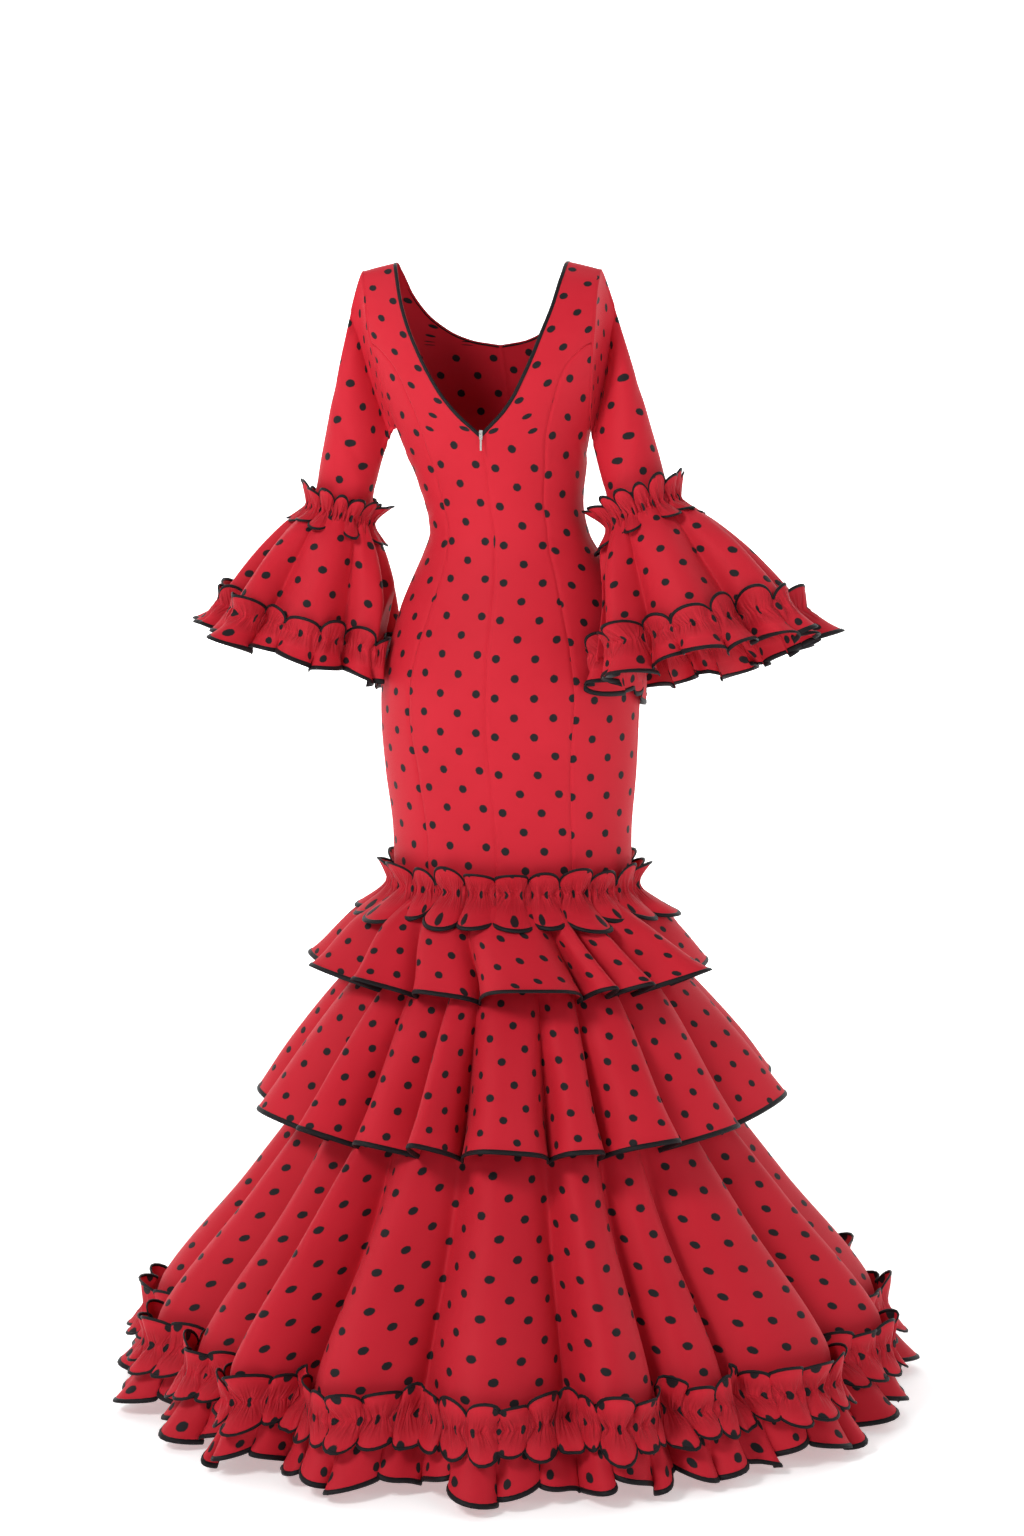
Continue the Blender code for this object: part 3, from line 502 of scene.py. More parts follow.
def princess_panel(name, grids, anchors):
    """One panel, mapped as its flat cloth: a straight length of crepe shaped at both sides."""
    sheets = [(grid, flat_map(grid, anchor) + DOT_SHIFT) for grid, anchor in zip(grids, anchors)]
    made = surface(f"cloth_{name}", sheets, body_centre(grids[0]), CLOTH_WALL, CREPE)
    on_dress(made, "red_cloth", name)


for side, hand in ((1, "left"), (-1, "right")):
    grid = panel(lambda drop: edge_angle(NECK, drop), outer_edge, back_drops, PANEL_COLUMNS,
                 (side, False))
    princess_panel(f"back_{hand}", [grid], [0.0])
    for face, front in (("back", False), ("front", True)):
        grid = panel(lambda drop: edge_angle(PRINCESS, drop), side_edge, side_drops, SIDE_COLUMNS,
                     (side, front))
        princess_panel(f"side_{face}_{hand}", [grid], [0.5])
halves = [panel(lambda drop: edge_angle(FRONT_NECK, drop), outer_edge, back_drops, PANEL_COLUMNS, (side, True))
          for side in (1, -1)]
princess_panel("front", halves, [0.0, 0.0])

# ---- Neck binding: a bias strip of black satin crepe, folded over the raw neckline and stitched, one length on
# each back edge and one round the front. It stands as a soft round cord.


def black_satin():
    """Black bias strip: a fine diagonal twill in the bump, with a low sheen along it."""
    material, tree, shader = new_material("black_satin", (0.011, 0.009, 0.011), 0.52)
    uv = add_node(tree, "UVMap", [("uv_map", "cloth")]).outputs["UV"]
    slant = add_node(tree, "VectorRotate", [("rotation_type", "Z_AXIS")], Vector=uv,
                     Angle=math.radians(45))
    twill = add_node(tree, "TexWave", Vector=slant.outputs["Vector"], Scale=420.0, Distortion=0.6)
    fleck = add_node(tree, "TexNoise", Vector=uv, Scale=900.0, Detail=2.0)
    height = maths(tree, "ADD", twill.outputs["Fac"], fleck.outputs["Fac"])
    relief = add_node(tree, "Bump", Height=height, Strength=0.35, Distance=0.0002)
    tree.links.new(relief.outputs["Normal"], shader.inputs["Normal"])
    tone = mixed(tree, fleck.outputs["Fac"], (0.004, 0.003, 0.004, 1), (0.012, 0.010, 0.012, 1))
    tree.links.new(tone, shader.inputs["Base Color"])
    shader.inputs["Sheen Weight"].default_value = 0.02
    shader.inputs["Specular IOR Level"].default_value = 0.16
    return material


SATIN = black_satin()
ROUND = 6           # points round a folded strip
STRIP_REACH = 0.32  # how far its centre lies inside the edge, as a share of its height


def unit_rows(vectors):
    """Each vector of a list or grid, at length 1."""
    return vectors / np.linalg.norm(vectors, axis=-1, keepdims=True)


def folded_strip(name, edge, inward, outward, height, thick, closed):
    """Strip folded over an edge: an oval of that height and thickness is carried along the edge.

    edge is its line of points, inward points from the edge into the cloth, outward away from its face."""
    phase = np.arange(ROUND) * 2 * math.pi / ROUND
    inward = unit_rows(inward)
    outward = unit_rows(outward - inward * (outward * inward).sum(axis=1, keepdims=True))
    centre = edge + inward * height * STRIP_REACH
    points = (centre[None] + inward[None] * (height / 2 * np.cos(phase))[:, None, None]
              + outward[None] * (thick / 2 * np.sin(phase))[:, None, None])
    points = points.transpose(1, 0, 2)
    if closed:
        points = np.concatenate([points, points[:1]])
    run = lengths(points, 0)[:, :1]
    round_it = np.arange(ROUND + 1)[None, :] * (math.pi * (height + thick) / 2 / ROUND)
    flat = np.stack(np.broadcast_arrays(round_it, run), axis=-1)
    made = surface(name, [(points, flat)], row_middles(points), 0, SATIN)
    welded = bmesh.new()
    welded.from_mesh(made.data)
    bmesh.ops.remove_doubles(welded, verts=welded.verts, dist=0.000005)
    if not closed:
        bmesh.ops.holes_fill(welded, edges=[e for e in welded.edges if e.is_boundary], sides=ROUND)
    welded.to_mesh(made.data)
    welded.free()
    made.data.shade_smooth()
    return made


NECK_STRIP, NECK_STRIP_THICK = 0.0048, 0.0030
NECK_POINTS, NECK_CROWDING = 90, 1.6    # points along a neckline, and how they crowd towards its lowest place


def neckline(edge, side, front):
    """Points along a neckline from the shoulder down, with the way into the cloth and out of it at each."""
    lowest = edge[-1][0]
    drop = lowest * (1 - (1 - np.linspace(0, 1, NECK_POINTS)) ** NECK_CROWDING)
    angle = edge_angle(edge, drop)
    inner = angle + 0.02
    turned = (lambda a: side * (math.pi - a if front else a))
    line = body(turned(angle), drop)
    cloth = body(turned(inner), drop) - line
    run = unit_rows(np.gradient(line, axis=0))
    inward = cloth - run * (cloth * run).sum(axis=1, keepdims=True)
    outward = body(turned(angle), drop, 0.01) - line
    return line, inward, outward


for side, hand in ((1, "left"), (-1, "right")):
    line, inward, outward = neckline(NECK, side, False)
    made = folded_strip(f"binding_neck_back_{hand}", line, inward, outward, NECK_STRIP, NECK_STRIP_THICK,
                        False)
    on_dress(made, "black_binding", f"neck_binding_back_{hand}")
left_part = neckline(FRONT_NECK, 1, True)
right_part = [part[::-1][1:] for part in neckline(FRONT_NECK, -1, True)]
line, inward, outward = (np.concatenate([a, b]) for a, b in zip(left_part, right_part))
made = folded_strip("binding_neck_front", line, inward, outward, NECK_STRIP, NECK_STRIP_THICK, False)
on_dress(made, "black_binding", "neck_binding_front")

# ---- Sleeves: one piece each of dotted crepe, closed by a seam under the arm, with a little ease at the head.
# They end at the elbow, where the bell is gathered on.

# Arms: elbow gather point, centre of the bell's hem, scale of the bell, radius of the sleeve's end, and how far
# the bell's outer side hangs lower than a cone square to its axis, as a share of its radius
ARMS = {
    "left": {"elbow": (0.188, -0.062, -0.325), "hem": (0.244, -0.066, -0.523), "scale": 0.95, "sleeve": 0.0385,
             "level": 0.0},
    "right": {"elbow": (-0.208, 0.052, -0.322), "hem": (-0.284, 0.092, -0.515), "scale": 1.05, "sleeve": 0.0405,
              "level": 0.15},
}
SLEEVE_COLUMNS, SLEEVE_ROWS = 96, 64
SEAM_LAP = 0.007                            # the sleeve's seam allowance, inside the armhole
SHOULDER_POINT, ARM_RISE = (0.135, -0.07), 0.012    # x and z that the upper arm runs to, and the arcs' headroom
HEAD_TUCKS, HEAD_EASE = 22, 0.0012
# Creases of a sleeve: share of the way down, share round from the underarm, length, depth, tilt
SLEEVE_CREASES = (
    (0.16, 0.10, 0.16, 0.0030, 0.30), (0.24, 0.90, 0.16, 0.0028, -0.28), (0.34, 0.06, 0.14, 0.0020, 0.2),
    (0.55, 0.30, 0.16, 0.0012, -0.2), (0.70, 0.62, 0.20, 0.0015, 0.15), (0.82, 0.20, 0.20, 0.0018, 0.2),
    (0.88, 0.75, 0.18, 0.0018, -0.2), (0.94, 0.45, 0.20, 0.0015, 0.1),
)


def unit(vector):
    """A vector at length 1."""
    return vector / np.linalg.norm(vector)


def arm_frame(arm):
    """Elbow point, axis down the bell, and two directions across it, the first outwards and the second back."""
    elbow, hem = np.array(arm["elbow"]), np.array(arm["hem"])
    axis = unit(hem - elbow)
    sideways = np.array([math.copysign(1, elbow[0]), 0, 0])
    across = unit(sideways - axis * sideways.dot(axis))
    return elbow, axis, across, np.cross(axis, across) * math.copysign(1, elbow[0])


def armhole_loop(side, count):
    """Points of one armhole, from the underarm up its back to the shoulder and down its front."""
    pace = (("share", "drop"), (0, UNDERARM_DROP), (0.12, 0.207), (0.3, 0.180), (0.85, 0.030),
            (0.94, 0.006), (0.98, 0.0008), (1, 0.0))
    drops = smooth(pace, "drop", np.linspace(0, 1, count // 2 + 1))
    fall = SHOULDER_FALL * np.clip(1 - drops / SHOULDER_REACH, 0, 1)
    back, front = (body(side * angle, drops) for angle in (side_edge(drops), math.pi - side_edge(drops)))
    back[:, 2] -= fall
    front[:, 2] -= fall
    front = front[::-1]
    return np.concatenate([back[:-1], (back[-1:] + front[:1]) / 2, front[1:-1]])


def sleeve(hand, arm):
    """Each line runs from the armhole to the elbow as an arc that leaves the shoulder sideways. Its first stretch
    lies inside the armhole, as the seam's allowance."""
    side = 1 if hand == "left" else -1
    elbow, axis, across, behind = arm_frame(arm)
    start = armhole_loop(side, SLEEVE_COLUMNS)
    angle = np.linspace(-math.pi / 2, 1.5 * math.pi, SLEEVE_COLUMNS, endpoint=False)
    ring = across * np.sin(angle)[:, None] + behind * np.cos(angle)[:, None]
    end_centre = elbow + axis * 0.004
    end = end_centre + arm["sleeve"] * ring
    rise = unit(np.array([side * SHOULDER_POINT[0], 0, SHOULDER_POINT[1]]) - end_centre)
    control = end + rise * ((start[:, 2] - ARM_RISE - end[:, 2]) / rise[2])[:, None]
    share = (np.linspace(0, 1, SLEEVE_ROWS) ** 1.15)[:, None, None]
    grid = (1 - share) ** 2 * start + 2 * share * (1 - share) * control + share ** 2 * end
    down, round_it = share[..., 0], (np.arange(SLEEVE_COLUMNS) / SLEEVE_COLUMNS)[None, :]
    depth = np.zeros((SLEEVE_ROWS, SLEEVE_COLUMNS))
    for at, place, reach, deep, tilt in SLEEVE_CREASES:
        across_it = np.mod(round_it - place + 0.5, 1) - 0.5
        fall = down - at - across_it * tilt
        depth += deep * (bump(fall / 0.035) - 0.6 * bump((fall - 0.06) / 0.04)) * bump(across_it / reach)
    ease = HEAD_EASE * np.cos(2 * np.pi * HEAD_TUCKS * round_it)
    depth += ease * bump(down / 0.05) * bump((round_it - 0.5) / 0.16)
    depth += SEAM_DEPTH * bump(down * 0.25 / SEAM_REACH)
    centre = row_middles(grid)
    out = unit_rows(grid - centre)
    grid = grid - out * (depth * np.clip(down / 0.04, 0, 1))[..., None]
    tucked = start + SEAM_LAP * np.array([-side, 0, 0]) + 0.0016 * unit_rows(body_centre(start) - start)
    grid, centre = np.concatenate([tucked[None], grid]), np.concatenate([centre[:1], centre])
    closed = looped(grid)
    along = unit_rows(np.gradient(closed, axis=0))
    girth = np.linalg.norm(np.cross(np.diff(closed, axis=1), along[:, :-1]), axis=-1)
    u = np.concatenate([np.zeros((len(grid), 1)), np.cumsum(girth, axis=1)], axis=1)
    below = lengths(closed, 0)
    flat = np.stack([u - u[:, SLEEVE_COLUMNS // 2:SLEEVE_COLUMNS // 2 + 1], below[-1] - below], axis=-1)
    made = surface(f"cloth_sleeve_{hand}", [(grid, flat)], centre, CLOTH_WALL, CREPE)
    on_dress(made, "red_cloth", f"sleeve_{hand}")


for hand, arm in ARMS.items():
    sleeve(hand, arm)

# ---- Bells: a wide cone of dotted crepe, gathered onto each sleeve at the elbow, which falls in deep flutes over
# the forearm. The flutes swell from the gathers down to the hem.

BELL = (("along", "radius", "swing", "pinch"),
        (0.000, 0.0440, 0.0014, 0.04), (0.012, 0.0530, 0.0030, 0.10), (0.040, 0.0700, 0.008, 0.22),
        (0.095, 0.0940, 0.0150, 0.14), (0.162, 0.1180, 0.0180, 0.20), (0.172, 0.1210, 0.0180, 0.20))
BELL_VALLEYS = {"left": (-148, -112, -82, -58, -32, 16, 44, 80, 112, 148),
                "right": (-150, -112, -70, -36, -7, 16, 40, 74, 110, 148)}
BELL_CLEARANCE, FRILL_CLEARANCE, RUCHE_CLEARANCE = 0.022, 0.008, 0.004  # to the body, at least
BELL_DEPTH = 0.163      # from the elbow to the line that the frill is sewn along
BELL_HEM = 0.168
BELL_COLUMNS, BELL_ROWS = 280, 44


def fold_place(turn, valleys):
    """Start angle and width of the fold at each turn, the share of the way across it, and the fold's number."""
    edges = np.radians(np.append(valleys, valleys[0] + 360.0))
    number = np.mod(np.floor(turn).astype(int), len(valleys))
    return edges[number], np.diff(edges)[number], turn - np.floor(turn), number


def uneven(number, seed, much):
    """A size near 1 for each fold or lobe, from two waves of its number."""
    return 1 + much * (np.sin(2.4 * number + seed) + 0.6 * np.sin(5.1 * number + 2 * seed))


def flutes(turn, valleys, swing, pinch, lean, seed):
    """Angle and outward swing of flutes: each swells out between two valleys, wide at its crest and pinched at its
    foot, and leans towards the side of the body that it lies on."""
    start, width, share, number = fold_place(turn, valleys)
    crest = (1 - np.cos(2 * np.pi * share)) / 2
    size = uneven(number, seed, 0.20)
    middle = start + width / 2
    angle = start + width * (share - pinch * np.sin(2 * np.pi * share) / 2 + lean * np.sin(middle) * crest)
    ripple = 0.10 * np.sin(2 * np.pi * (2 * share + 0.13 * number)) * crest
    return angle, swing * (2 * (crest + ripple) * size - 1)


def clear_of_body(points, gap):
    """Points pushed sideways, away from the body's own axis, until they stand clear of its surface."""
    drop = -points[..., 2]
    centre, turn = smooth(BODY, "centre", drop), np.radians(smooth(BODY, "turn", drop))
    x, y = points[..., 0] - centre, points[..., 1]
    side = x * np.cos(turn) - y * np.sin(turn)
    deep = x * np.sin(turn) + y * np.cos(turn)
    depth = np.where(deep > 0, smooth(BODY, "back", drop), smooth(BODY, "front", drop)) + gap
    reach = np.hypot(side / (smooth(BODY, "half", drop) + gap), deep / depth)
    short = 1 / np.maximum(reach, 0.2) - 1
    push = 1 + (short + np.sqrt(short * short + 0.0006)) / 2
    push = np.where(short < -0.35, 1, push)
    moved = points.copy()
    moved[..., 0] = centre + x * push
    moved[..., 1] = y * push
    return moved


def bell_point(hand, turn, along, out, gap=BELL_CLEARANCE):
    """Point of a bell's surface at a count of flutes round it and a length down its axis, moved out."""
    arm = ARMS[hand]
    elbow, axis, across, behind = arm_frame(arm)
    turn, along, out = np.broadcast_arrays(turn, along, out)
    angle, swing = flutes(turn, BELL_VALLEYS[hand], smooth(BELL, "swing", along), smooth(BELL, "pinch", along),
                          0.18 * np.clip(along / 0.16, 0, 1), 1.3)
    tucks = 0.0016 * np.sin(2 * np.pi * 4 * turn) * np.exp(-along / 0.03)
    radius = (smooth(BELL, "radius", along) + swing + tucks + out) * arm["scale"]
    round_it = -np.sin(angle) if elbow[0] < 0 else np.sin(angle)
    hang = along * arm["scale"] + radius * round_it * arm["level"] * np.clip(along / BELL_DEPTH, 0, 1)
    points = (elbow + axis * hang[..., None] + across * (radius * round_it)[..., None]
              + behind * (radius * np.cos(angle))[..., None])
    return clear_of_body(points, gap)


def cone_map(points):
    """Map of a flared ring as it is cut: a sector of a flat ring, whose two radii give the top and hem lengths."""
    closed = looped(points)
    round_it, down = lengths(closed, 1), lengths(closed, 0).mean(axis=1)
    top, hem = round_it[:, -1].min(), round_it[-1, -1]
    sector = max((hem - top) / down[-1], 0.05)
    radius = (hem / sector - down[-1] + down)[:, None]
    angle = sector * (round_it / round_it[:, -1:] - 0.5)
    return np.stack([radius * np.sin(angle), -radius * np.cos(angle)], axis=-1), hem, down[-1]


def flared(name, points, node):
    """A flared ring of cloth, mapped as a sector of a flat ring."""
    flat, hem, depth = cone_map(points)
    made = surface(name, [(points, flat)], row_middles(points), CLOTH_WALL, CREPE, 0.0)
    on_dress(made, "red_cloth", node)


for hand in ARMS:
    turn = np.arange(BELL_COLUMNS)[None, :] * len(BELL_VALLEYS[hand]) / BELL_COLUMNS
    along = np.linspace(0.0, BELL_HEM, BELL_ROWS)[:, None]
    grid = bell_point(hand, turn, along, 0.0)
    flared(f"cloth_bell_{hand}", grid, f"bell_{hand}")

# ---- Gathered strips on the arms: a ruche round each elbow, frilled along both edges, and a frill on each bell's
# hem with a short header above its gathering line. Their raw edges are overlocked with thick black thread.


def gathered(share, across, strip):
    """Slide along, drop and outward shift of a gathered strip at a share of its length and a place across it.

    Lobes swell away from the gathering line. A lobe's foot is pinched until it overhangs, and lobes bunch in
    clusters whose gathers run together. Fine tucks fill the line itself."""
    lobes, group, pitch = strip["lobes"], strip["cluster"], strip["length"] / strip["lobes"]
    count = share * lobes
    number = np.floor(count)
    part = count - number
    crest = (1 - np.cos(2 * np.pi * part)) / 2
    size = uneven(number, strip["seed"], 0.30)
    bunch = np.mod(count / group, 1)
    full = np.sin(np.pi * bunch)
    far = np.abs(across)
    height = np.where(across < 0, strip["up"], strip["down"])
    drop = np.sign(across) * far * height * (0.76 + 0.30 * full + 0.22 * (size - 1))
    arch = np.where(across < 0, -strip["arch_up"], strip["arch_down"])
    drop = drop + far ** 2 * arch * (crest ** 0.7 - 0.5) * uneven(number, strip["seed"] + 5, 0.35)
    flare = np.where(across < 0, strip["flare_up"], strip["flare_down"])
    out = strip["lift"] + far ** 1.3 * flare * (1.10 * crest * size - 0.05) * (0.64 + 0.42 * full)
    tucks = np.sin(2 * np.pi * (3 * part + 0.21 * number)) * (1 - far) ** 2
    out = out + strip["tuck"] * tucks
    pinch = np.where(across < 0, strip["pinch_up"], strip["pinch_down"])
    slide = -pitch * pinch * far * size * np.sin(2 * np.pi * part) / (2 * np.pi)
    slide = slide + pitch * group * strip["gather"] * np.sin(2 * np.pi * bunch) * (0.45 - far)
    return slide, drop, out


STRIP_WALL = 0.0007


def even_share(place):
    """Length of a closed ring, and the function that turns a share of that length into the ring's own count."""
    steps = np.linspace(0, 1, 3001)
    run = lengths(place(steps)[None], 1)[0]
    return run[-1], (lambda share: np.interp(share - np.floor(share), run / run[-1], steps) + np.floor(share))


def strip_edges(name, grid, edges, binding_node):
    """Black edging along a strip's first or last row, over the same points. The binding stands for its CAD node."""
    middle = row_middles(grid)
    for label, row, next_row, height, thick in edges:
        inward = grid[next_row] - grid[row]
        run = np.roll(grid[row], -1, axis=0) - np.roll(grid[row], 1, axis=0)
        outward = np.cross(run, inward)
        if (outward * (grid[row] - middle[row])).sum() < 0:
            outward = -outward
        made = folded_strip(f"{label}_{name}", grid[row], inward, outward, height, thick, True)
        on_dress(made, "black_binding", *([binding_node] if label == "binding" else []))


def strip_piece(name, place, strip, rows, columns, edges, node, binding_node=None):
    """A gathered strip round a ring: place gives its point at a share of the way round, a drop and a shift out."""
    length, count_at = even_share(lambda share: place(share, strip["line"], 0.0))
    strip = dict(strip, length=length)
    share = np.arange(columns)[None, :] / columns
    up_rows, down_rows = rows
    across = np.concatenate([-np.linspace(1, 0, up_rows + 1)[:-1] if up_rows else [], np.linspace(0, 1, down_rows)])
    across = (np.sign(across) * np.abs(across) ** 0.85)[:, None]
    slide, drop, out = gathered(share, across, strip)
    grid = place(count_at(share + slide / length), strip["line"] + drop, out)
    v = -across * np.where(across < 0, strip["up"], strip["down"])
    longest = max(lengths(looped(grid), 1)[[0, -1], -1])
    u = np.linspace(0, longest, columns + 1)[None, :]
    flat = np.stack(np.broadcast_arrays(u, v), axis=-1)
    made = surface(f"cloth_{name}", [(grid, flat)], row_middles(grid), STRIP_WALL, GATHERED_CREPE, 0.0)
    on_dress(made, "red_cloth", node)
    strip_edges(name, grid, edges, binding_node)


# Edgings of a strip: name, its row and the next one into the cloth, height and thickness. Ruffles are overlocked
# along their headers and ruches along both edges; hems take a wider bias binding.
OVERLOCK, HEM_BINDING = (0.0046, 0.0026), (0.0074, 0.0028)
RUCHE_EDGES = (("edging_top", 0, 1, *OVERLOCK), ("edging_low", -1, -2, *OVERLOCK))
HEADER_EDGE, HEM_EDGE = ("edging", 0, 1, *OVERLOCK), ("binding", -1, -2, *HEM_BINDING)
ELBOW_RADIUS = 0.0440

ELBOW_RUCHE = {"lobes": 15, "cluster": 3, "line": 0.0, "up": 0.022, "down": 0.020, "flare_up": 0.017,
               "flare_down": 0.022, "lift": 0.004, "tuck": 0.0026, "pinch_up": 1.1, "pinch_down": 1.35,
               "gather": 0.03, "arch_up": 0.017, "arch_down": 0.012, "seed": 0.6}
BELL_FRILL = {"lobes": 22, "cluster": 2, "line": 0.163, "up": 0.018, "down": 0.040, "flare_up": 0.015,
              "flare_down": 0.026, "lift": 0.003, "tuck": 0.0028, "pinch_up": 1.05, "pinch_down": 1.45,
              "gather": 0.04, "arch_up": 0.016, "arch_down": -0.006, "seed": 2.1}


def elbow_point(hand, share, along, out):
    """Point round the elbow, where the sleeve meets the bell."""
    elbow, axis, across, behind = arm_frame(ARMS[hand])
    share, along, out = np.broadcast_arrays(share, along, out)
    angle = 2 * np.pi * share
    radius = (ELBOW_RADIUS + out) * ARMS[hand]["scale"]
    points = (elbow + axis * (along * ARMS[hand]["scale"])[..., None] + across * (radius * np.sin(angle))[..., None]
              + behind * (radius * np.cos(angle))[..., None])
    return clear_of_body(points, RUCHE_CLEARANCE)


for hand in ARMS:
    strip_piece(f"elbow_ruche_{hand}", lambda share, along, out: elbow_point(hand, share, along, out), ELBOW_RUCHE,
                (8, 9), 306, RUCHE_EDGES, f"elbow_ruche_{hand}")
    folds = len(BELL_VALLEYS[hand])
    strip_piece(f"bell_frill_{hand}",
                lambda share, along, out: bell_point(hand, share * folds, along, out, FRILL_CLEARANCE), BELL_FRILL,
                (7, 12), 468, (HEADER_EDGE, HEM_EDGE), f"bell_frill_{hand}", f"bell_frill_binding_{hand}")

# ---- Skirt base: the plain flared underskirt that the panels' hem is sewn to. The flounces are stitched on it.

SKIRT_CENTRE = -0.043
SETTLED_BELOW = 0.12    # how far below the knee the skirt's rings have left the body's centre and turn
BASE_COLUMNS, BASE_ROWS, BASE_HEM = 120, 40, 1.079
SKIRT_BASE = (("drop", "half", "depth", "swing", "pinch"),
              (0.8110, 0.1562, 0.1125, 0, 0), (0.880, 0.174, 0.146, 0, 0), (0.960, 0.204, 0.190, 0, 0),
              (1.080, 0.2560, 0.252, 0, 0))


def skirt_point(angle, drop, half, depth):
    """Point of a skirt ring. Its centre and turn follow the body's at the knee and settle by the flounces."""
    angle, drop, half, depth = np.broadcast_arrays(angle, drop, half, depth)
    settled = np.clip((drop - KNEE_DROP) / SETTLED_BELOW, 0, 1)
    settled = settled * settled * (3 - 2 * settled)
    centre = smooth(BODY, "centre", drop) * (1 - settled) + SKIRT_CENTRE * settled
    turn = np.radians(smooth(BODY, "turn", drop)) * (1 - settled)
    side, deep = half * np.sin(angle), depth * np.cos(angle)
    x = centre + side * np.cos(turn) + deep * np.sin(turn)
    return np.stack([x, deep * np.cos(turn) - side * np.sin(turn), -drop], axis=-1)


angle = np.linspace(-math.pi, math.pi, BASE_COLUMNS, endpoint=False)[None, :]
drop = np.linspace(KNEE_DROP - 0.001, BASE_HEM, BASE_ROWS)[:, None]
grid = skirt_point(angle, drop, smooth(SKIRT_BASE, "half", drop), smooth(SKIRT_BASE, "depth", drop))
flared("cloth_skirt_base", grid, "skirt_base")

# ---- Knee ruffle: a strip of dotted crepe gathered along a line near its top, sewn over the seam at the knee.
# Its frilled header stands up against the panels and its lower edge stands out over the first flounce.

KNEE_RING = (("drop", "half", "depth"), (0.783, 0.1620, 0.1190), (0.808, 0.1630, 0.1210), (0.838, 0.1750, 0.1420))
KNEE_RUFFLE = {"lobes": 22, "cluster": 2, "line": 0.806, "up": 0.023, "down": 0.034, "flare_up": 0.016,
               "flare_down": 0.034, "lift": 0.003, "tuck": 0.0032, "pinch_up": 1.05, "pinch_down": 1.5,
               "gather": 0.04, "arch_up": 0.018, "arch_down": 0.01, "seed": 0.2}


def knee_point(share, drop, out):
    """Point round the knee seam at a share of the way round, starting at the centre back."""
    share, drop, out = np.broadcast_arrays(share, drop, out)
    return skirt_point(2 * np.pi * share, drop, smooth(KNEE_RING, "half", drop) + out,
                       smooth(KNEE_RING, "depth", drop) + out)


strip_piece("knee_ruffle", knee_point, KNEE_RUFFLE, (8, 12), 720, (HEADER_EDGE, HEM_EDGE),
            "knee_ruffle", "knee_ruffle_binding")

# ---- Flounces: three wide flared rings of dotted crepe, each sewn on under the one above. They hang in deep
# flutes. The upper two end in a black bias binding, the third carries the hem's ruche and ruffle.

TIER_1 = (("drop", "half", "depth", "swing", "pinch", "lean"),
          (0.8180, 0.1640, 0.126, 0.002, 0.04, 0), (0.850, 0.199, 0.172, 0.015, 0.18, 0.08),
          (0.9215, 0.241, 0.229, 0.031, 0.34, 0.24))
TIER_2 = (("drop", "half", "depth", "swing", "pinch", "lean"),
          (0.890, 0.1860, 0.160, 0.003, 0.06, 0), (0.960, 0.238, 0.227, 0.015, 0.24, 0.06),
          (1.040, 0.285, 0.280, 0.027, 0.22, 0.10), (1.1035, 0.318, 0.315, 0.031, 0.34, 0.18))
TIER_3 = (("drop", "half", "depth", "swing", "pinch", "lean"),
          (1.0790, 0.2590, 0.255, 0.006, 0.10, 0), (1.200, 0.333, 0.333, 0.027, 0.16, 0.05),
          (1.340, 0.438, 0.438, 0.037, 0.22, 0.10), (1.398, 0.470, 0.470, 0.024, 0.16, 0.06))
TIER_1_VALLEYS = (-160, -132, -106, -68, -44, -31, -22, 12, 34, 50, 76, 104, 133, 160)
TIER_2_VALLEYS = (-166, -142, -118, -92, -64, -39, -21, -8, 13, 24, 41, 55, 82, 108, 134, 160)
TIER_3_VALLEYS = (-168, -148, -126, -102, -78, -59, -36, -23, -8, 15, 35, 48, 64, 82, 104, 124, 146, 168)


def tier_point(table, valleys, seed, turn, drop, out=0.0, lift=0.0):
    """Point of a flounce at a count of flutes round it and a drop, moved out. At the hem the crests stand higher
    than the valleys by twice the lift, as cloth of one length that hangs at two slopes."""
    turn, drop, out = np.broadcast_arrays(turn, drop, out)
    angle, swing = flutes(turn, valleys, smooth(table, "swing", drop), smooth(table, "pinch", drop),
                          smooth(table, "lean", drop), seed)
    top = table[1][0]
    tucks = 0.0018 * np.sin(2 * np.pi * 5 * turn) * np.exp(-(drop - top) / 0.02)
    half, depth = smooth(table, "half", drop), smooth(table, "depth", drop)
    fall = np.clip((drop - top) / (table[-1][0] - top), 0, 1)
    drop = drop - lift * fall ** 3 * swing / np.maximum(smooth(table, "swing", drop), 0.001)
    return skirt_point(angle, drop, half + swing + tucks + out, depth + swing + tucks + out)


HEM_LIFT = 0.014
TIER_3_SEED = 3.1


def flounce(name, table, valleys, seed, rows, columns, bound):
    """One flounce, from its seam to its hem. A bound one ends in a bias binding."""
    turn = np.arange(columns)[None, :] * len(valleys) / columns
    drop = np.linspace(table[1][0], table[-1][0], rows)[:, None]
    grid = tier_point(table, valleys, seed, turn, drop, lift=HEM_LIFT if bound else 0.0)
    flared(f"cloth_{name}", grid, name)
    if bound:
        strip_edges(name, grid, [HEM_EDGE], f"{name}_binding")


flounce("tier_1", TIER_1, TIER_1_VALLEYS, 0.4, 28, 476, True)
flounce("tier_2", TIER_2, TIER_2_VALLEYS, 1.9, 44, 576, True)
flounce("tier_3", TIER_3, TIER_3_VALLEYS, TIER_3_SEED, 56, 648, False)

# ---- Hem: a ruche frilled along both edges covers the seam of the last ruffle, which just clears the floor.
# Both follow the third flounce's flutes. The ruche bunches in clusters of lobes.

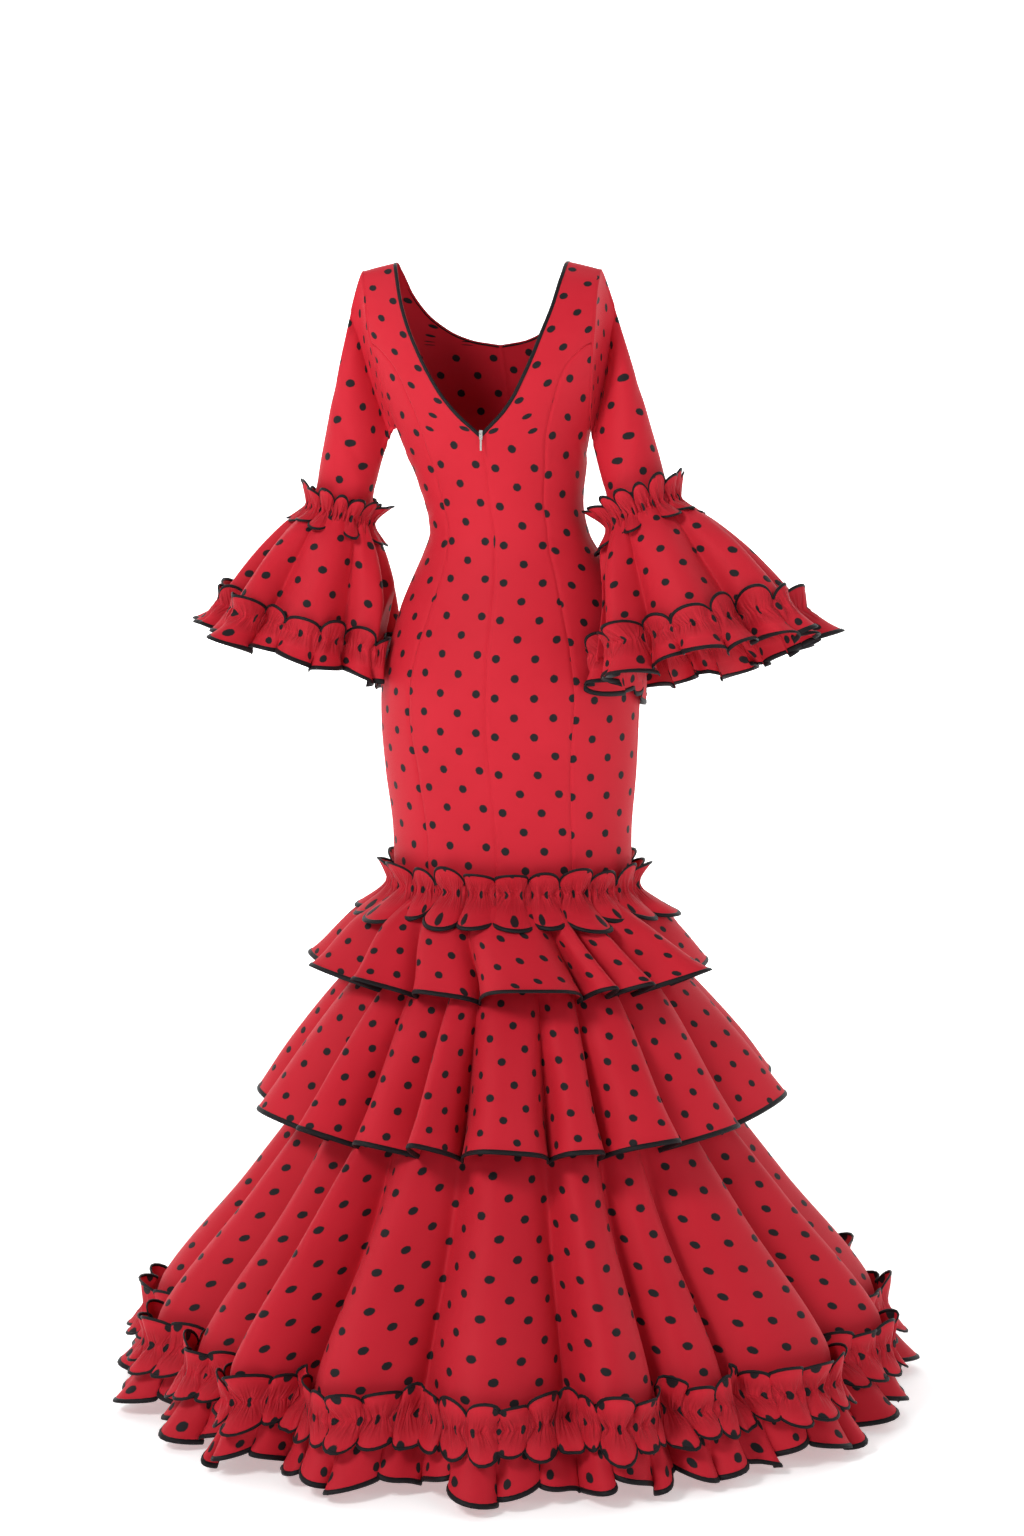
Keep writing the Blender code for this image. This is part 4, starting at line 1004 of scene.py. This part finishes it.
HEM_RUCHE = {"lobes": 96, "cluster": 3, "line": 1.384, "up": 0.028, "down": 0.026, "flare_up": 0.020,
             "flare_down": 0.020, "lift": 0.012, "tuck": 0.0036, "pinch_up": 1.25, "pinch_down": 1.35,
             "gather": 0.10, "arch_up": 0.017, "arch_down": 0.013, "seed": 0.9}
HEM_RUFFLE = {"lobes": 66, "cluster": 2, "line": 1.392, "up": 0.0, "down": 0.066, "flare_up": 0.0,
              "flare_down": 0.026, "lift": 0.003, "tuck": 0.0034, "pinch_up": 0.0, "pinch_down": 1.35,
              "gather": 0.03, "arch_up": 0.0, "arch_down": -0.006, "seed": 2.6}
HEM_LINE = (("drop", "out"), (1.340, 0.0), (1.398, 0.0), (1.470, 0.020))


def hem_point(share, drop, out):
    """Point on the third flounce or below it, where the ruffle goes on down at a steeper slope."""
    share, drop, out = np.broadcast_arrays(share, drop, out)
    point = tier_point(TIER_3, TIER_3_VALLEYS, TIER_3_SEED, share * len(TIER_3_VALLEYS),
                       np.minimum(drop, TIER_3[-1][0]), out + smooth(HEM_LINE, "out", drop))
    point[..., 2] = -drop
    return point


strip_piece("hem_ruffle", hem_point, HEM_RUFFLE, (0, 16), 1080, [HEM_EDGE], "hem_ruffle", "hem_ruffle_binding")
strip_piece("hem_ruche", hem_point, HEM_RUCHE, (7, 8), 1188, RUCHE_EDGES, "hem_ruche")

# ---- Zip: a concealed zip closes the centre back. Its steel slider and pull tab show at the point of the neck;
# the tape lies behind the seam.


def plated_steel():
    """Plated steel: bright, faintly brushed, with a slight unevenness of the plating."""
    material, tree, shader = new_material("plated_steel", (0.78, 0.75, 0.72), 0.28)
    shader.inputs["Metallic"].default_value = 1.0
    place = add_node(tree, "TexCoord").outputs["Object"]
    haze = add_node(tree, "TexNoise", Vector=place, Scale=900.0, Detail=2.0)
    rough = add_node(tree, "MapRange", Value=haze.outputs["Fac"], To_Min=0.2, To_Max=0.38)
    tree.links.new(rough.outputs[0], shader.inputs["Roughness"])
    return material


STEEL = plated_steel()
for node, material in (("zip_slider", STEEL), ("zip_pull_tab", STEEL), ("zip_tape", SATIN)):
    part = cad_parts[node]
    part.data.materials.clear()
    part.data.materials.append(material)
